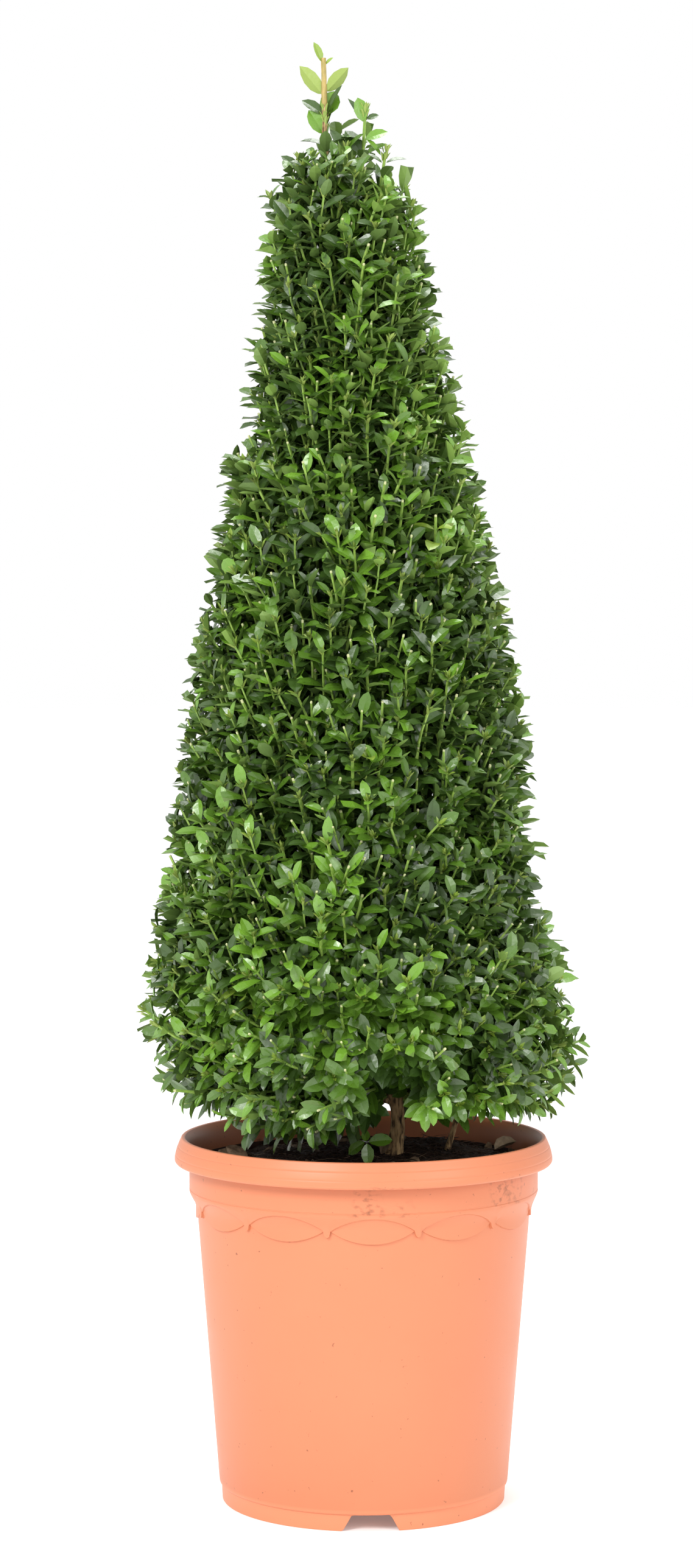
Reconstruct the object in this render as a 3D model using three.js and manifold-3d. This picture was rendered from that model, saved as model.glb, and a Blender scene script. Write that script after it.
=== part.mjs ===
// A clipped box cone growing in a round moulded pot, as a THREE.Group of named meshes.
// Millimetres, +Z up. The origin is on the pot's axis in the plane that its foot stands on,
// and the front of the plant faces -Y. Azimuths are degrees from the front towards +X.
import * as THREE from "three";
import { mergeVertices } from "three/addons/utils/BufferGeometryUtils.js";
import Module from "manifold-3d";

const wasm = await Module();
wasm.setup();

// ---------------------------------------------------------------- driving dimensions

const GAP = 0.3; // clear space between neighbouring solids

const POT = {
  height: 288.5, // floor to the top of the lip
  turn: 2.8, // degrees that the foot's first notch stands off the front
  wall: 2.2,
  foot: { bottomRadius: 112, topRadius: 112.8, height: 14.5 },
  plate: { underside: 13, thickness: 2.5 },
  body: { bottomRadius: 114.7, topRadius: 131.9, bottom: 15.5, top: 231 },
  band: { radius: 134.2, step: 1.5, top: 238 }, // raised band that carries the ornament
  neck: { radius: 138.2, bottom: 245, top: 268.8 },
  rim: { radius: 149.8, lipRadius: 142, drop: 19.7, hem: 2.2, tuck: 1.2 },
  segments: 48,
};

const NOTCH = { count: 3, topWidth: 30, bottomWidth: 44, height: 12.5, reach: 30 };

const SOIL = { edgeHeight: 262, dome: 9, ripple: 0.8, rings: 4, segments: 32 };

// The main stem, which runs up through the crown to the leader's tip.
const STEM = {
  foot: new THREE.Vector2(24, 4),
  baseRadius: 5,
  flare: { width: 2.2, height: 14 },
  tipRadius: 2.1,
  tip: new THREE.Vector3(-31.5, 0, 1136),
  sides: 10,
  steps: 26,
};

// The clipped cone: a straight flank between a rounded skirt and a domed top.
const CONE = {
  shoulder: { radius: 167, height: 428 },
  crest: { radius: 61, height: 1004 },
  swell: 3, // how far the flank bulges half way up
  top: 1070,
  bottom: 350, // where the underside meets the stem
  leanFrom: new THREE.Vector3(2, 0, 330),
  leanTo: new THREE.Vector3(-19, 0, 1070),
  unevenness: 4,
  segments: 32,
  flankSteps: 9,
  domeSteps: 4,
};

// Loose sprays under the clipped flank, hanging over the rim. Each is [azimuth, reach from the
// axis, height of its middle, half width across, half height].
const SKIRT = {
  skirt_front: [12, 163, 374, 60, 46],
  skirt_front_right: [56, 168, 370, 64, 52],
  skirt_right: [99, 178, 368, 66, 56],
  skirt_back_right: [146, 168, 368, 66, 52],
  skirt_back: [190, 166, 370, 64, 50],
  skirt_back_left: [234, 168, 366, 66, 52],
  skirt_left: [278, 182, 370, 64, 54],
  skirt_front_left: [325, 168, 361, 66, 55],
};
const SKIRT_DEPTH = 54; // half of a spray's thickness along the radius
const FULLNESS = 0.78; // below 1, a lump fills its corners more than an ellipsoid does

// Open tufts above the clipped top: centre and half sizes.
const TUFTS = {
  tuft_leader: { centre: [-27, 0, 1082], half: [23, 22, 36] },
  tuft_right: { centre: [8, -2, 1076], half: [19, 21, 33] },
  tuft_back: { centre: [-10, 24, 1066], half: [20, 16, 30] },
  leader_leaves: { centre: [-31, 0, 1130.5], half: [22, 16, 18] },
  sprig_by_stem: { centre: [2, -34, 284], half: [17, 14, 13] },
};

// Boughs that show under the crown: height on the stem, azimuth and height where the bough
// enters its spray, distance of that end from the axis, and the radius at the stem.
const BOUGHS = {
  bough_left: { from: 316, azimuth: 280, to: 330, reach: 96, radius: 2.6 },
  bough_up_left: { from: 322, azimuth: 305, to: 352, reach: 74, radius: 2.4 },
  bough_front_right: { from: 332, azimuth: 48, to: 350, reach: 88, radius: 2.1 },
  bough_right: { from: 326, azimuth: 98, to: 346, reach: 96, radius: 2.4 },
  bough_back_right: { from: 336, azimuth: 150, to: 352, reach: 84, radius: 2.1 },
  bough_back_left: { from: 328, azimuth: 225, to: 348, reach: 84, radius: 2.3 },
};
const BOUGH = { tipShare: 0.6, arch: 0.12, sides: 8, steps: 6 };

// A second, thin stem that leaves the soil on the right and leans outwards.
const SIDE_STEM = {
  foot: new THREE.Vector2(66, 22),
  head: new THREE.Vector3(98, 26, 336),
  bow: 5, // how far its middle stands back from the straight line, towards the main stem
  baseRadius: 2.4,
  tipRadius: 1.7,
};

const COLOURS = {
  pot: { color: 0xf09a6c, roughness: 0.5 },
  soil: { color: 0x2a1a12, roughness: 0.95 },
  bark: { color: 0x84653f, roughness: 0.85 },
  foliage: { color: 0x4f7a2f, roughness: 0.55 },
  youngLeaf: { color: 0x9dbb52, roughness: 0.5 },
};

// ---------------------------------------------------------------- solids and geometry

/** A closed geometry as a manifold-3d solid. */
function solidOf(geometry) {
  const bare = geometry.index ? geometry.toNonIndexed() : geometry.clone();
  bare.deleteAttribute("normal");
  bare.deleteAttribute("uv");
  const merged = mergeVertices(bare, 1e-3);
  return new wasm.Manifold(
    new wasm.Mesh({
      numProp: 3,
      vertProperties: merged.attributes.position.array,
      triVerts: new Uint32Array(merged.index.array),
    }),
  );
}

/** The largest body of a solid, as a geometry. */
function geometryOf(solid) {
  const bodies = solid.decompose().sort((a, b) => b.volume() - a.volume());
  const mesh = bodies[0].getMesh();
  const geometry = new THREE.BufferGeometry();
  geometry.setAttribute("position", new THREE.BufferAttribute(mesh.vertProperties, 3));
  geometry.setIndex(new THREE.BufferAttribute(mesh.triVerts, 1));
  geometry.computeVertexNormals();
  return geometry;
}

/** Moves every vertex of a geometry through place(vertex). */
function reshape(geometry, place) {
  const position = geometry.attributes.position;
  const vertex = new THREE.Vector3();
  for (let i = 0; i < position.count; i += 1) {
    vertex.fromBufferAttribute(position, i);
    place(vertex);
    position.setXYZ(i, vertex.x, vertex.y, vertex.z);
  }
  return geometry;
}

/** A profile of [radius, height] pairs turned about the Z axis. */
function turned(profile, segments) {
  const points = profile.map(([radius, height]) => new THREE.Vector2(radius, height));
  return new THREE.LatheGeometry(points, segments).rotateX(Math.PI / 2);
}

/** The unit vector at an azimuth, from the front (-Y) towards +X. */
function outward(azimuth) {
  const angle = THREE.MathUtils.degToRad(azimuth);
  return new THREE.Vector3(Math.sin(angle), -Math.cos(angle), 0);
}

/** An uneven value between about -1 and 1 for a direction, different for each seed. */
function unevenness(direction, seed) {
  const { x, y, z } = direction;
  return (
    0.4 * Math.sin(3.1 * x + 2.3 * y + 1.7 * seed) +
    0.3 * Math.sin(4.3 * y - 3.7 * z + 2.9 * seed) +
    0.3 * Math.sin(11.9 * z + 8.1 * x - 6.3 * y + 0.7 * seed)
  );
}

function material({ color, roughness }) {
  return new THREE.MeshStandardMaterial({ color, roughness, metalness: 0 });
}

// ---------------------------------------------------------------- the pot

/** [radius, height] of the pot's inner wall, from its floor up to the lip. */
function potInside() {
  const { body, band, neck, wall, height, rim } = POT;
  return [
    [body.bottomRadius - wall, POT.plate.underside + POT.plate.thickness],
    [body.topRadius - wall, body.top],
    [band.radius - wall, band.top + wall],
    [neck.radius - wall, neck.bottom + wall],
    [neck.radius - wall, neck.top],
    [rim.lipRadius - wall, height - wall],
  ];
}

/** The rim's bulging face: a quarter of an oval from its widest circle up to the lip. */
function rimFace(steps) {
  const { radius, lipRadius, drop, hem } = POT.rim;
  const widest = POT.height - drop + hem;
  return Array.from({ length: steps + 1 }, (_, i) => {
    const angle = (Math.PI / 2) * (i / steps);
    return [
      lipRadius + (radius - lipRadius) * Math.cos(angle),
      widest + (POT.height - widest) * Math.sin(angle),
    ];
  });
}

/** A prism with the notch's outline, reaching out through the foot. */
function notchCutter(azimuth) {
  const { topWidth, bottomWidth, height, reach } = NOTCH;
  const below = -2;
  const splay = ((bottomWidth - topWidth) / 2) * (1 - below / height);
  const outline = new THREE.Shape([
    new THREE.Vector2(-topWidth / 2 - splay, below),
    new THREE.Vector2(topWidth / 2 + splay, below),
    new THREE.Vector2(topWidth / 2, height),
    new THREE.Vector2(-topWidth / 2, height),
  ]);
  const prism = new THREE.ExtrudeGeometry(outline, { depth: reach, bevelEnabled: false });
  prism.rotateX(Math.PI / 2).translate(0, reach / 2 - POT.foot.bottomRadius, 0);
  return prism.rotateZ(THREE.MathUtils.degToRad(azimuth));
}

function potGeometry() {
  const { foot, plate, body, band, neck, rim, wall, height } = POT;
  const outside = [
    [0, plate.underside],
    [foot.topRadius - wall, plate.underside],
    [foot.bottomRadius - wall, 0],
    [foot.bottomRadius, 0],
    [foot.topRadius, foot.height],
    [body.bottomRadius, body.bottom],
    [body.topRadius, body.top],
    [band.radius, body.top + band.step],
    [band.radius, band.top],
    [neck.radius, neck.bottom],
    [neck.radius, neck.top],
    [rim.radius - rim.tuck, height - rim.drop],
    ...rimFace(3),
  ];
  const inside = potInside().reverse();
  const floor = [[0, plate.underside + plate.thickness]];
  let solid = solidOf(turned([...outside, ...inside, ...floor], POT.segments));
  for (let i = 0; i < NOTCH.count; i += 1) {
    solid = solid.subtract(solidOf(notchCutter((360 / NOTCH.count) * i)));
  }
  return geometryOf(solid).rotateZ(THREE.MathUtils.degToRad(POT.turn));
}

// ---------------------------------------------------------------- the soil

/** Height of the soil's gently domed and rippled surface. */
function soilHeight(x, y) {
  const share = Math.hypot(x, y) / POT.neck.radius;
  const ripple = SOIL.ripple * Math.sin(x / 17) * Math.cos(y / 21);
  return SOIL.edgeHeight + SOIL.dome * (1 - share * share) + ripple;
}

function soilGeometry(stem) {
  const clear = potInside()
    .filter(([, height]) => height < SOIL.edgeHeight)
    .map(([radius, height]) => [radius - GAP * 2, height + GAP]);
  const edge = clear[clear.length - 1][0];
  const top = Array.from({ length: SOIL.rings + 1 }, (_, i) => [
    edge * (1 - i / SOIL.rings),
    SOIL.edgeHeight,
  ]);
  const profile = [[0, clear[0][1]], ...clear, ...top];
  const fill = reshape(turned(profile, SOIL.segments), (v) => {
    if (v.z > SOIL.edgeHeight - 0.01) v.z = soilHeight(v.x, v.y);
  });
  return geometryOf(solidOf(fill).subtract(stem));
}

// ---------------------------------------------------------------- stems and boughs

/** A tapering round limb along a curve. Level sections stay horizontal all the way up. */
function limb(curve, radiusAt, { sides, steps, level = false }) {
  const rod = new THREE.CylinderGeometry(1, 1, 1, sides, steps);
  const frames = curve.computeFrenetFrames(steps);
  return reshape(rod, (v) => {
    const share = v.y + 0.5;
    const index = Math.round(share * steps);
    const across = level ? new THREE.Vector3(1, 0, 0) : frames.normals[index];
    const along = level ? new THREE.Vector3(0, 1, 0) : frames.binormals[index];
    const radius = radiusAt(share);
    const centre = curve.getPointAt(share);
    const [u, w] = [v.x * radius, v.z * radius];
    v.copy(centre).addScaledVector(across, u).addScaledVector(along, -w);
  });
}

/** The main stem's axis, from its cut at the soil to the leader's tip. */
function stemCurve() {
  const { foot, tip } = STEM;
  const ground = soilHeight(foot.x, foot.y) + 1;
  return new THREE.CatmullRomCurve3([
    new THREE.Vector3(foot.x, foot.y, ground),
    new THREE.Vector3(foot.x + 3.5, foot.y, 304),
    new THREE.Vector3(foot.x - 3, foot.y + 1, 330),
    new THREE.Vector3(foot.x - 8, foot.y, 430),
    new THREE.Vector3(-4, 2, 640),
    new THREE.Vector3(-12, -3, 860),
    new THREE.Vector3(-29, 0, 1050),
    tip,
  ]);
}

/** The stem's geometry, with every radius grown by a clearance. */
function stemGeometry(clearance = 0) {
  const { baseRadius, tipRadius, flare } = STEM;
  const curve = stemCurve();
  const length = curve.getLength();
  const radiusAt = (share) =>
    baseRadius +
    (tipRadius - baseRadius) * share +
    flare.width * Math.exp((-share * length) / flare.height) +
    clearance;
  return limb(curve, radiusAt, { ...STEM, level: true });
}

/** A point on the stem's axis at a height. */
function stemAt(height) {
  const points = stemCurve().getPoints(400);
  return points.reduce((best, point) =>
    Math.abs(point.z - height) < Math.abs(best.z - height) ? point : best,
  );
}

/** A bough's geometry: it leaves the stem's bark and arches out to its spray. */
function boughGeometry({ from, azimuth, to, reach, radius }) {
  const axis = stemAt(from);
  const end = outward(azimuth).multiplyScalar(reach).setZ(to);
  const heading = end.clone().sub(axis).setZ(0).normalize();
  const start = axis.clone().addScaledVector(heading, STEM.baseRadius + radius + GAP);
  const middle = start.clone().lerp(end, 0.5);
  middle.z += BOUGH.arch * (end.z - start.z);
  const curve = new THREE.CatmullRomCurve3([start, middle, end]);
  const radiusAt = (share) => radius * (1 + (BOUGH.tipShare - 1) * share);
  return limb(curve, radiusAt, BOUGH);
}

function sideStemGeometry() {
  const { foot, head, bow, baseRadius, tipRadius } = SIDE_STEM;
  const ground = new THREE.Vector3(foot.x, foot.y, soilHeight(foot.x, foot.y) + 1);
  const middle = ground.clone().lerp(head, 0.5);
  middle.x -= bow;
  const curve = new THREE.CatmullRomCurve3([ground, middle, head]);
  const radiusAt = (share) => baseRadius + (tipRadius - baseRadius) * share;
  return limb(curve, radiusAt, { ...BOUGH, level: true });
}

// ---------------------------------------------------------------- the masses of leaves

/** The cone's outline as [radius, height], from under the crown round to the top. */
function coneOutline(clearance) {
  const { shoulder, crest, swell, top, bottom, flankSteps, domeSteps } = CONE;
  const under = [
    [0, bottom - clearance],
    [shoulder.radius * 0.45, bottom + 14 - clearance],
    [shoulder.radius * 0.85, bottom + 42 - clearance],
    [shoulder.radius + clearance, shoulder.height - 18],
  ];
  const flank = Array.from({ length: flankSteps + 1 }, (_, i) => {
    const share = i / flankSteps;
    const straight = THREE.MathUtils.lerp(shoulder.radius, crest.radius, share);
    return [
      straight + swell * Math.sin(Math.PI * share) + clearance,
      THREE.MathUtils.lerp(shoulder.height, crest.height, share),
    ];
  });
  const dome = Array.from({ length: domeSteps }, (_, i) => {
    const angle = (Math.PI / 2) * ((i + 1) / domeSteps);
    return [
      (crest.radius + clearance) * Math.cos(angle),
      crest.height + (top + clearance - crest.height) * Math.sin(angle),
    ];
  });
  dome[domeSteps - 1][0] = 0;
  return [...under, ...flank, ...dome];
}

/** The clipped cone, leaning a little to the left and slightly uneven. */
function coneGeometry(clearance = 0) {
  const { leanFrom, leanTo, segments } = CONE;
  return reshape(turned(coneOutline(clearance), segments), (v) => {
    const radius = Math.hypot(v.x, v.y);
    if (radius > 1) {
      const direction = new THREE.Vector3(v.x / radius, v.y / radius, v.z / 120);
      const push = 1 + (CONE.unevenness * unevenness(direction, 3)) / Math.max(radius, 40);
      v.x *= push;
      v.y *= push;
    }
    const share = (v.z - leanFrom.z) / (leanTo.z - leanFrom.z);
    v.x += THREE.MathUtils.lerp(leanFrom.x, leanTo.x, share);
  });
}

/** A lumpy, full-cornered ellipsoid with the given half sizes along X, Y and Z. */
function lump(half, seed, clearance, segments = [14, 8]) {
  const ball = new THREE.SphereGeometry(1, ...segments).rotateX(Math.PI / 2);
  const fuller = (value) => Math.sign(value) * Math.abs(value) ** FULLNESS;
  return reshape(ball, (v) => {
    const swell = 1 + 0.08 * unevenness(v, seed);
    v.set(fuller(v.x), fuller(v.y), fuller(v.z));
    v.multiply(new THREE.Vector3(...half).addScalar(clearance)).multiplyScalar(swell);
  });
}

/** One loose spray of the skirt. Its outer side droops a little. */
function skirtGeometry([azimuth, reach, height, halfWidth, halfHeight], clearance = 0) {
  const half = [halfWidth, SKIRT_DEPTH, halfHeight];
  const spray = reshape(lump(half, azimuth, clearance), (v) => {
    v.z += 0.16 * v.y;
  });
  const centre = outward(azimuth).multiplyScalar(reach - SKIRT_DEPTH);
  spray.rotateZ(THREE.MathUtils.degToRad(azimuth));
  return spray.translate(centre.x, centre.y, height);
}

function tuftGeometry({ centre, half }, seed, clearance = 0) {
  return lump(half, seed, clearance, [10, 7]).translate(...centre);
}

// ---------------------------------------------------------------- assembly

const plant = new THREE.Group();
plant.name = "potted_box_cone";

function add(name, geometry, look) {
  const mesh = new THREE.Mesh(geometry, material(look));
  mesh.name = name;
  plant.add(mesh);
}

const stemClear = solidOf(stemGeometry(GAP));
const sideStem = sideStemGeometry();
const woodClear = [stemClear, solidOf(sideStem)];

add("pot", potGeometry(), COLOURS.pot);
add("soil", soilGeometry(stemClear), COLOURS.soil);
add("main_stem", stemGeometry(), COLOURS.bark);
add("side_stem", sideStem, COLOURS.bark);
for (const [name, bough] of Object.entries(BOUGHS)) {
  const geometry = boughGeometry(bough);
  woodClear.push(solidOf(geometry));
  add(name, geometry, COLOURS.bark);
}

/** A mass cut back from the stems, the boughs and every mass placed before it. */
const placed = [];
function addMass(name, shape, look) {
  const solid = [...woodClear, ...placed].reduce(
    (left, other) => left.subtract(other),
    solidOf(shape(0)),
  );
  placed.push(solidOf(shape(GAP)));
  add(name, geometryOf(solid), look);
}

addMass("crown_cone", coneGeometry, COLOURS.foliage);
for (const [name, spray] of Object.entries(SKIRT)) {
  addMass(name, (clearance) => skirtGeometry(spray, clearance), COLOURS.foliage);
}
Object.entries(TUFTS).forEach(([name, tuft], i) => {
  const look = name === "leader_leaves" ? COLOURS.youngLeaf : COLOURS.foliage;
  addMass(name, (clearance) => tuftGeometry(tuft, i + 1, clearance), look);
});

export default plant;
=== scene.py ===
"""A clipped box cone in its moulded pot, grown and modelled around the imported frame.

Everything is in metres and in the frame's own axes: +Z up, the front of the plant towards -Y.
Azimuths are measured from the front towards +X. The plant grows from the frame's stem and
boughs: limbs fork into twigs and twigs into leafy shoots, and the frame's foliage solids are
the outline that the shoots are clipped to.
"""

from __future__ import annotations

import logging
import math
from dataclasses import dataclass, field, replace
from enum import Enum
from typing import Callable, Sequence

import bmesh
import bpy
import numpy as np
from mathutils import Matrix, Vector, noise
from mathutils.bvhtree import BVHTree

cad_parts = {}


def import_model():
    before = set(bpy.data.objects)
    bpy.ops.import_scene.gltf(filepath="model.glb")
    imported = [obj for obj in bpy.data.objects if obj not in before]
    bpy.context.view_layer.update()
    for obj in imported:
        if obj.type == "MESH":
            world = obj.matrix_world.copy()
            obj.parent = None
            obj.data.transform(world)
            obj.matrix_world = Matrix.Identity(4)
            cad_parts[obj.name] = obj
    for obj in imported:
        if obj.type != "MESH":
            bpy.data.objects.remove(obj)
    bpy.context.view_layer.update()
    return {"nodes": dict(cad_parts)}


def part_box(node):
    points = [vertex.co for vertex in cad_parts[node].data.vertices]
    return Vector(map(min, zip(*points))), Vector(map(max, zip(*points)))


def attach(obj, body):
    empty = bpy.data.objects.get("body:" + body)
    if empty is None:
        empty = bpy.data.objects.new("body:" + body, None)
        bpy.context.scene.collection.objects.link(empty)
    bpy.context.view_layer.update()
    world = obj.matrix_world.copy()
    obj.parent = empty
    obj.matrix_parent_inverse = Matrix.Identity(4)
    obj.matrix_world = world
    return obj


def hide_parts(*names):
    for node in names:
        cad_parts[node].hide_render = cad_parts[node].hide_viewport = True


LOG = logging.getLogger("box_cone")
MM = 0.001
ROOT = "root"
UP = np.array([0.0, 0.0, 1.0])
FRONT = np.array([0.0, -1.0, 0.0])
TURN = 2 * math.pi
GROWTH_SEED = 2027
SOIL_SEED = 77

Colour = tuple[float, float, float]


# ------------------------------------------------------------------ small helpers


def unit(vectors: np.ndarray) -> np.ndarray:
    """Vectors scaled to length 1 along the last axis."""
    length = np.linalg.norm(vectors, axis=-1, keepdims=True)
    return vectors / np.maximum(length, 1e-12)


def across(vectors: np.ndarray) -> np.ndarray:
    """One unit vector at a right angle to each given unit vector."""
    steep = np.abs(vectors[..., 2:3]) > 0.9
    other = np.where(steep, np.array([1.0, 0.0, 0.0]), UP)
    return unit(np.cross(vectors, other))


def outward(azimuth: np.ndarray | float) -> np.ndarray:
    """The level unit vector at an azimuth in degrees, from the front (-Y) towards +X."""
    angle = np.radians(azimuth)
    return np.stack([np.sin(angle), -np.cos(angle), np.zeros_like(angle)], axis=-1)


def mixed(first: np.ndarray, second: np.ndarray, share: np.ndarray | float) -> np.ndarray:
    """The unit vector a share of the way from the first direction to the second."""
    share = np.asarray(share)[..., None]
    return unit(first * (1 - share) + second * share)


def bezier(ends: Sequence[np.ndarray], share: np.ndarray) -> tuple[np.ndarray, np.ndarray]:
    """Points and unit tangents of curves with a start, a knee and an end.

    Args:
        ends: Start, knee and end, each (n, 3).
        share: Share along each curve, (n, s).

    Returns:
        The points and the tangents, each (n, s, 3).
    """
    start, knee, end = (point[:, None, :] for point in ends)
    t = share[..., None]
    points = (1 - t) ** 2 * start + 2 * t * (1 - t) * knee + t**2 * end
    slope = 2 * (1 - t) * (knee - start) + 2 * t * (end - knee)
    return points, unit(slope)


def spaced(points: np.ndarray, gap: float) -> list[int]:
    """Numbers of the points left when none may be nearer than gap to one before it."""
    cells: dict[tuple[int, int, int], list[int]] = {}
    kept: list[int] = []
    around = [(i, j, k) for i in (-1, 0, 1) for j in (-1, 0, 1) for k in (-1, 0, 1)]
    keys = np.floor(points / gap).astype(int)
    for number, key in enumerate(keys.tolist()):
        near = (n for i, j, k in around for n in cells.get((key[0] + i, key[1] + j, key[2] + k), ()))
        if all(np.sum((points[number] - points[n]) ** 2) >= gap * gap for n in near):
            cells.setdefault(tuple(key), []).append(number)
            kept.append(number)
    return kept


def sifted(columns: Sequence[np.ndarray], chosen: np.ndarray | list[int]) -> tuple[np.ndarray, ...]:
    """The rows of several arrays that a mask or a list of numbers names."""
    return tuple(column[chosen] for column in columns)


def relief(points: np.ndarray, scale: Sequence[float], octaves: int, seed: float) -> np.ndarray:
    """Layered noise between about -1 and 1 at each point.

    Args:
        points: Places, (n, 3).
        scale: Waves per metre along X, Y and Z.
        octaves: Layers, each twice as fine and half as strong.
        seed: Shifts the pattern.

    Returns:
        One value for each point.
    """
    scaled = points * np.asarray(scale) + seed
    return np.array([noise.fractal(Vector(p), 1.0, 2.0, octaves) for p in scaled])


# ------------------------------------------------------------------ finishes


class Shader:
    """Builds one Principled material, node by node, on Object coordinates."""

    def __init__(self, name: str, roughness: float, specular: float = 0.5) -> None:
        """Starts a material with the given roughness and specular level."""
        self.material = bpy.data.materials.new(name)
        self.material.use_nodes = True
        self.nodes = self.material.node_tree.nodes
        self.surface = self.nodes["Principled BSDF"]
        self.surface.inputs["Roughness"].default_value = roughness
        self.surface.inputs["Specular IOR Level"].default_value = specular
        self.place = self.nodes.new("ShaderNodeTexCoord").outputs["Object"]

    def link(self, source: bpy.types.NodeSocket, target: bpy.types.NodeSocket) -> None:
        """Joins two sockets."""
        self.material.node_tree.links.new(source, target)

    def colour(self, value: Colour) -> None:
        """Gives the surface one plain base colour."""
        self.surface.inputs["Base Color"].default_value = (*value, 1.0)

    def noise(
        self,
        scale: float,
        detail: float = 4.0,
        stretch: Sequence[float] = (1.0, 1.0, 1.0),
        shift: Sequence[float] = (0.0, 0.0, 0.0),
    ) -> bpy.types.NodeSocket:
        """A noise pattern.

        Args:
            scale: Waves per metre.
            detail: Octaves.
            stretch: Factors on X, Y and Z before the noise.
            shift: Offset of the pattern.

        Returns:
            The socket with the pattern's value.
        """
        mapping = self.nodes.new("ShaderNodeMapping")
        mapping.inputs["Scale"].default_value = stretch
        mapping.inputs["Location"].default_value = shift
        self.link(self.place, mapping.inputs["Vector"])
        pattern = self.nodes.new("ShaderNodeTexNoise")
        pattern.inputs["Scale"].default_value = scale
        pattern.inputs["Detail"].default_value = detail
        self.link(mapping.outputs["Vector"], pattern.inputs["Vector"])
        return pattern.outputs["Fac"]

    def ramp(
        self, value: bpy.types.NodeSocket, stops: Sequence[tuple[float, Colour | float]]
    ) -> bpy.types.NodeSocket:
        """Turns a value into a colour or a grey by way of stops, and returns that socket."""
        node = self.nodes.new("ShaderNodeValToRGB")
        elements = node.color_ramp.elements
        while len(elements) < len(stops):
            elements.new(0.5)
        for element, (position, tone) in zip(elements, stops):
            element.position = position
            element.color = (*tone, 1.0) if isinstance(tone, tuple) else (tone, tone, tone, 1.0)
        self.link(value, node.inputs["Fac"])
        return node.outputs["Color"]

    def math(
        self,
        operation: str,
        first: bpy.types.NodeSocket,
        second: bpy.types.NodeSocket | float,
    ) -> bpy.types.NodeSocket:
        """One operation on two values, clamped between 0 and 1, as a socket."""
        node = self.nodes.new("ShaderNodeMath")
        node.operation = operation
        node.use_clamp = True
        self.link(first, node.inputs[0])
        if isinstance(second, float):
            node.inputs[1].default_value = second
        else:
            self.link(second, node.inputs[1])
        return node.outputs[0]

    def height_band(self, low: float, high: float, soft: float) -> bpy.types.NodeSocket:
        """A mask that is 1 between two heights and fades out over a soft edge."""
        split = self.nodes.new("ShaderNodeSeparateXYZ")
        self.link(self.place, split.inputs[0])
        sides = []
        for start, end in ((low - soft, low), (high + soft, high)):
            step = self.nodes.new("ShaderNodeMapRange")
            step.inputs["From Min"].default_value = start
            step.inputs["From Max"].default_value = end
            self.link(split.outputs["Z"], step.inputs["Value"])
            sides.append(step.outputs[0])
        return self.math("MULTIPLY", sides[0], sides[1])

    def mix(
        self,
        share: bpy.types.NodeSocket,
        first: bpy.types.NodeSocket | Colour,
        second: bpy.types.NodeSocket | Colour,
    ) -> bpy.types.NodeSocket:
        """Blends two colours by a share, and returns the blend's socket."""
        node = self.nodes.new("ShaderNodeMix")
        node.data_type = "RGBA"
        self.link(share, node.inputs["Factor"])
        for name, value in (("A", first), ("B", second)):
            socket = next(s for s in node.inputs if s.name == name and s.type == "RGBA")
            if isinstance(value, tuple):
                socket.default_value = (*value, 1.0)
            else:
                self.link(value, socket)
        return next(s for s in node.outputs if s.type == "RGBA")

    def bump(self, value: bpy.types.NodeSocket, depth: float, strength: float = 1.0) -> None:
        """Adds a relief of the given depth in metres to the surface's normal."""
        node = self.nodes.new("ShaderNodeBump")
        node.inputs["Distance"].default_value = depth
        node.inputs["Strength"].default_value = strength
        self.link(value, node.inputs["Height"])
        socket = self.surface.inputs["Normal"]
        if socket.is_linked:
            self.link(socket.links[0].from_socket, node.inputs["Normal"])
        self.link(node.outputs["Normal"], socket)

    def paint(self, source: bpy.types.NodeSocket, name: str = "Base Color") -> None:
        """Feeds a socket of the surface."""
        self.link(source, self.surface.inputs[name])


@dataclass(frozen=True)
class Foliage:
    """The two sides of one tone of leaf, each a plain colour with a slight unevenness."""

    name: str
    top: Colour
    under: Colour
    gloss: float = 0.36

    def make(self) -> list[bpy.types.Material]:
        """The upper side's material and the underside's."""
        made = []
        for side, colour, roughness in (
            ("top", self.top, self.gloss),
            ("under", self.under, self.gloss + 0.22),
        ):
            shader = Shader(f"leaf_{self.name}_{side}", roughness, 0.72)
            shader.colour(colour)
            cells = shader.noise(420.0, 3.0)
            shader.bump(cells, 0.25 * MM, 0.5)
            shader.paint(
                shader.ramp(cells, ((0.3, roughness - 0.07), (0.75, roughness + 0.1))), "Roughness"
            )
            made.append(shader.material)
        return made


@dataclass(frozen=True)
class TwoTone:
    """A finish of two tones that one noise mixes.

    The stops are the values of the noise from which each tone is pure. The relief is the depth
    and the strength of bumps that follow the noise, or nothing.
    """

    name: str
    low: Colour
    high: Colour
    roughness: float
    specular: float
    scale: float
    detail: float
    stretch: tuple[float, float, float] = (1.0, 1.0, 1.0)
    stops: tuple[float, float] = (0.35, 0.65)
    relief: tuple[float, float] | None = None

    def make(self) -> bpy.types.Material:
        """The material."""
        shader = Shader(self.name, self.roughness, self.specular)
        pattern = shader.noise(self.scale, self.detail, self.stretch)
        shader.paint(shader.ramp(pattern, tuple(zip(self.stops, (self.low, self.high)))))
        if self.relief:
            shader.bump(pattern, *self.relief)
        return shader.material


def stem_skin(name: str, light: Colour, dark: Colour, roughness: float = 0.5) -> bpy.types.Material:
    """Smooth skin of a young stem, with lengthwise streaks."""
    skin = TwoTone(name, dark, light, roughness, 0.4, 500.0, 3.0, (1.0, 1.0, 0.3), relief=(0.2 * MM, 0.5))
    return skin.make()


def litter(name: str, tone: Colour, mottle: float, roughness: float) -> bpy.types.Material:
    """A quiet finish with a faint mottle, for small pieces."""
    lighter = tuple(channel * (1 + mottle) for channel in tone)
    darker = tuple(channel * (1 - mottle) for channel in tone)
    return TwoTone(name, darker, lighter, roughness, 0.3, 260.0, 4.0).make()


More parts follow.
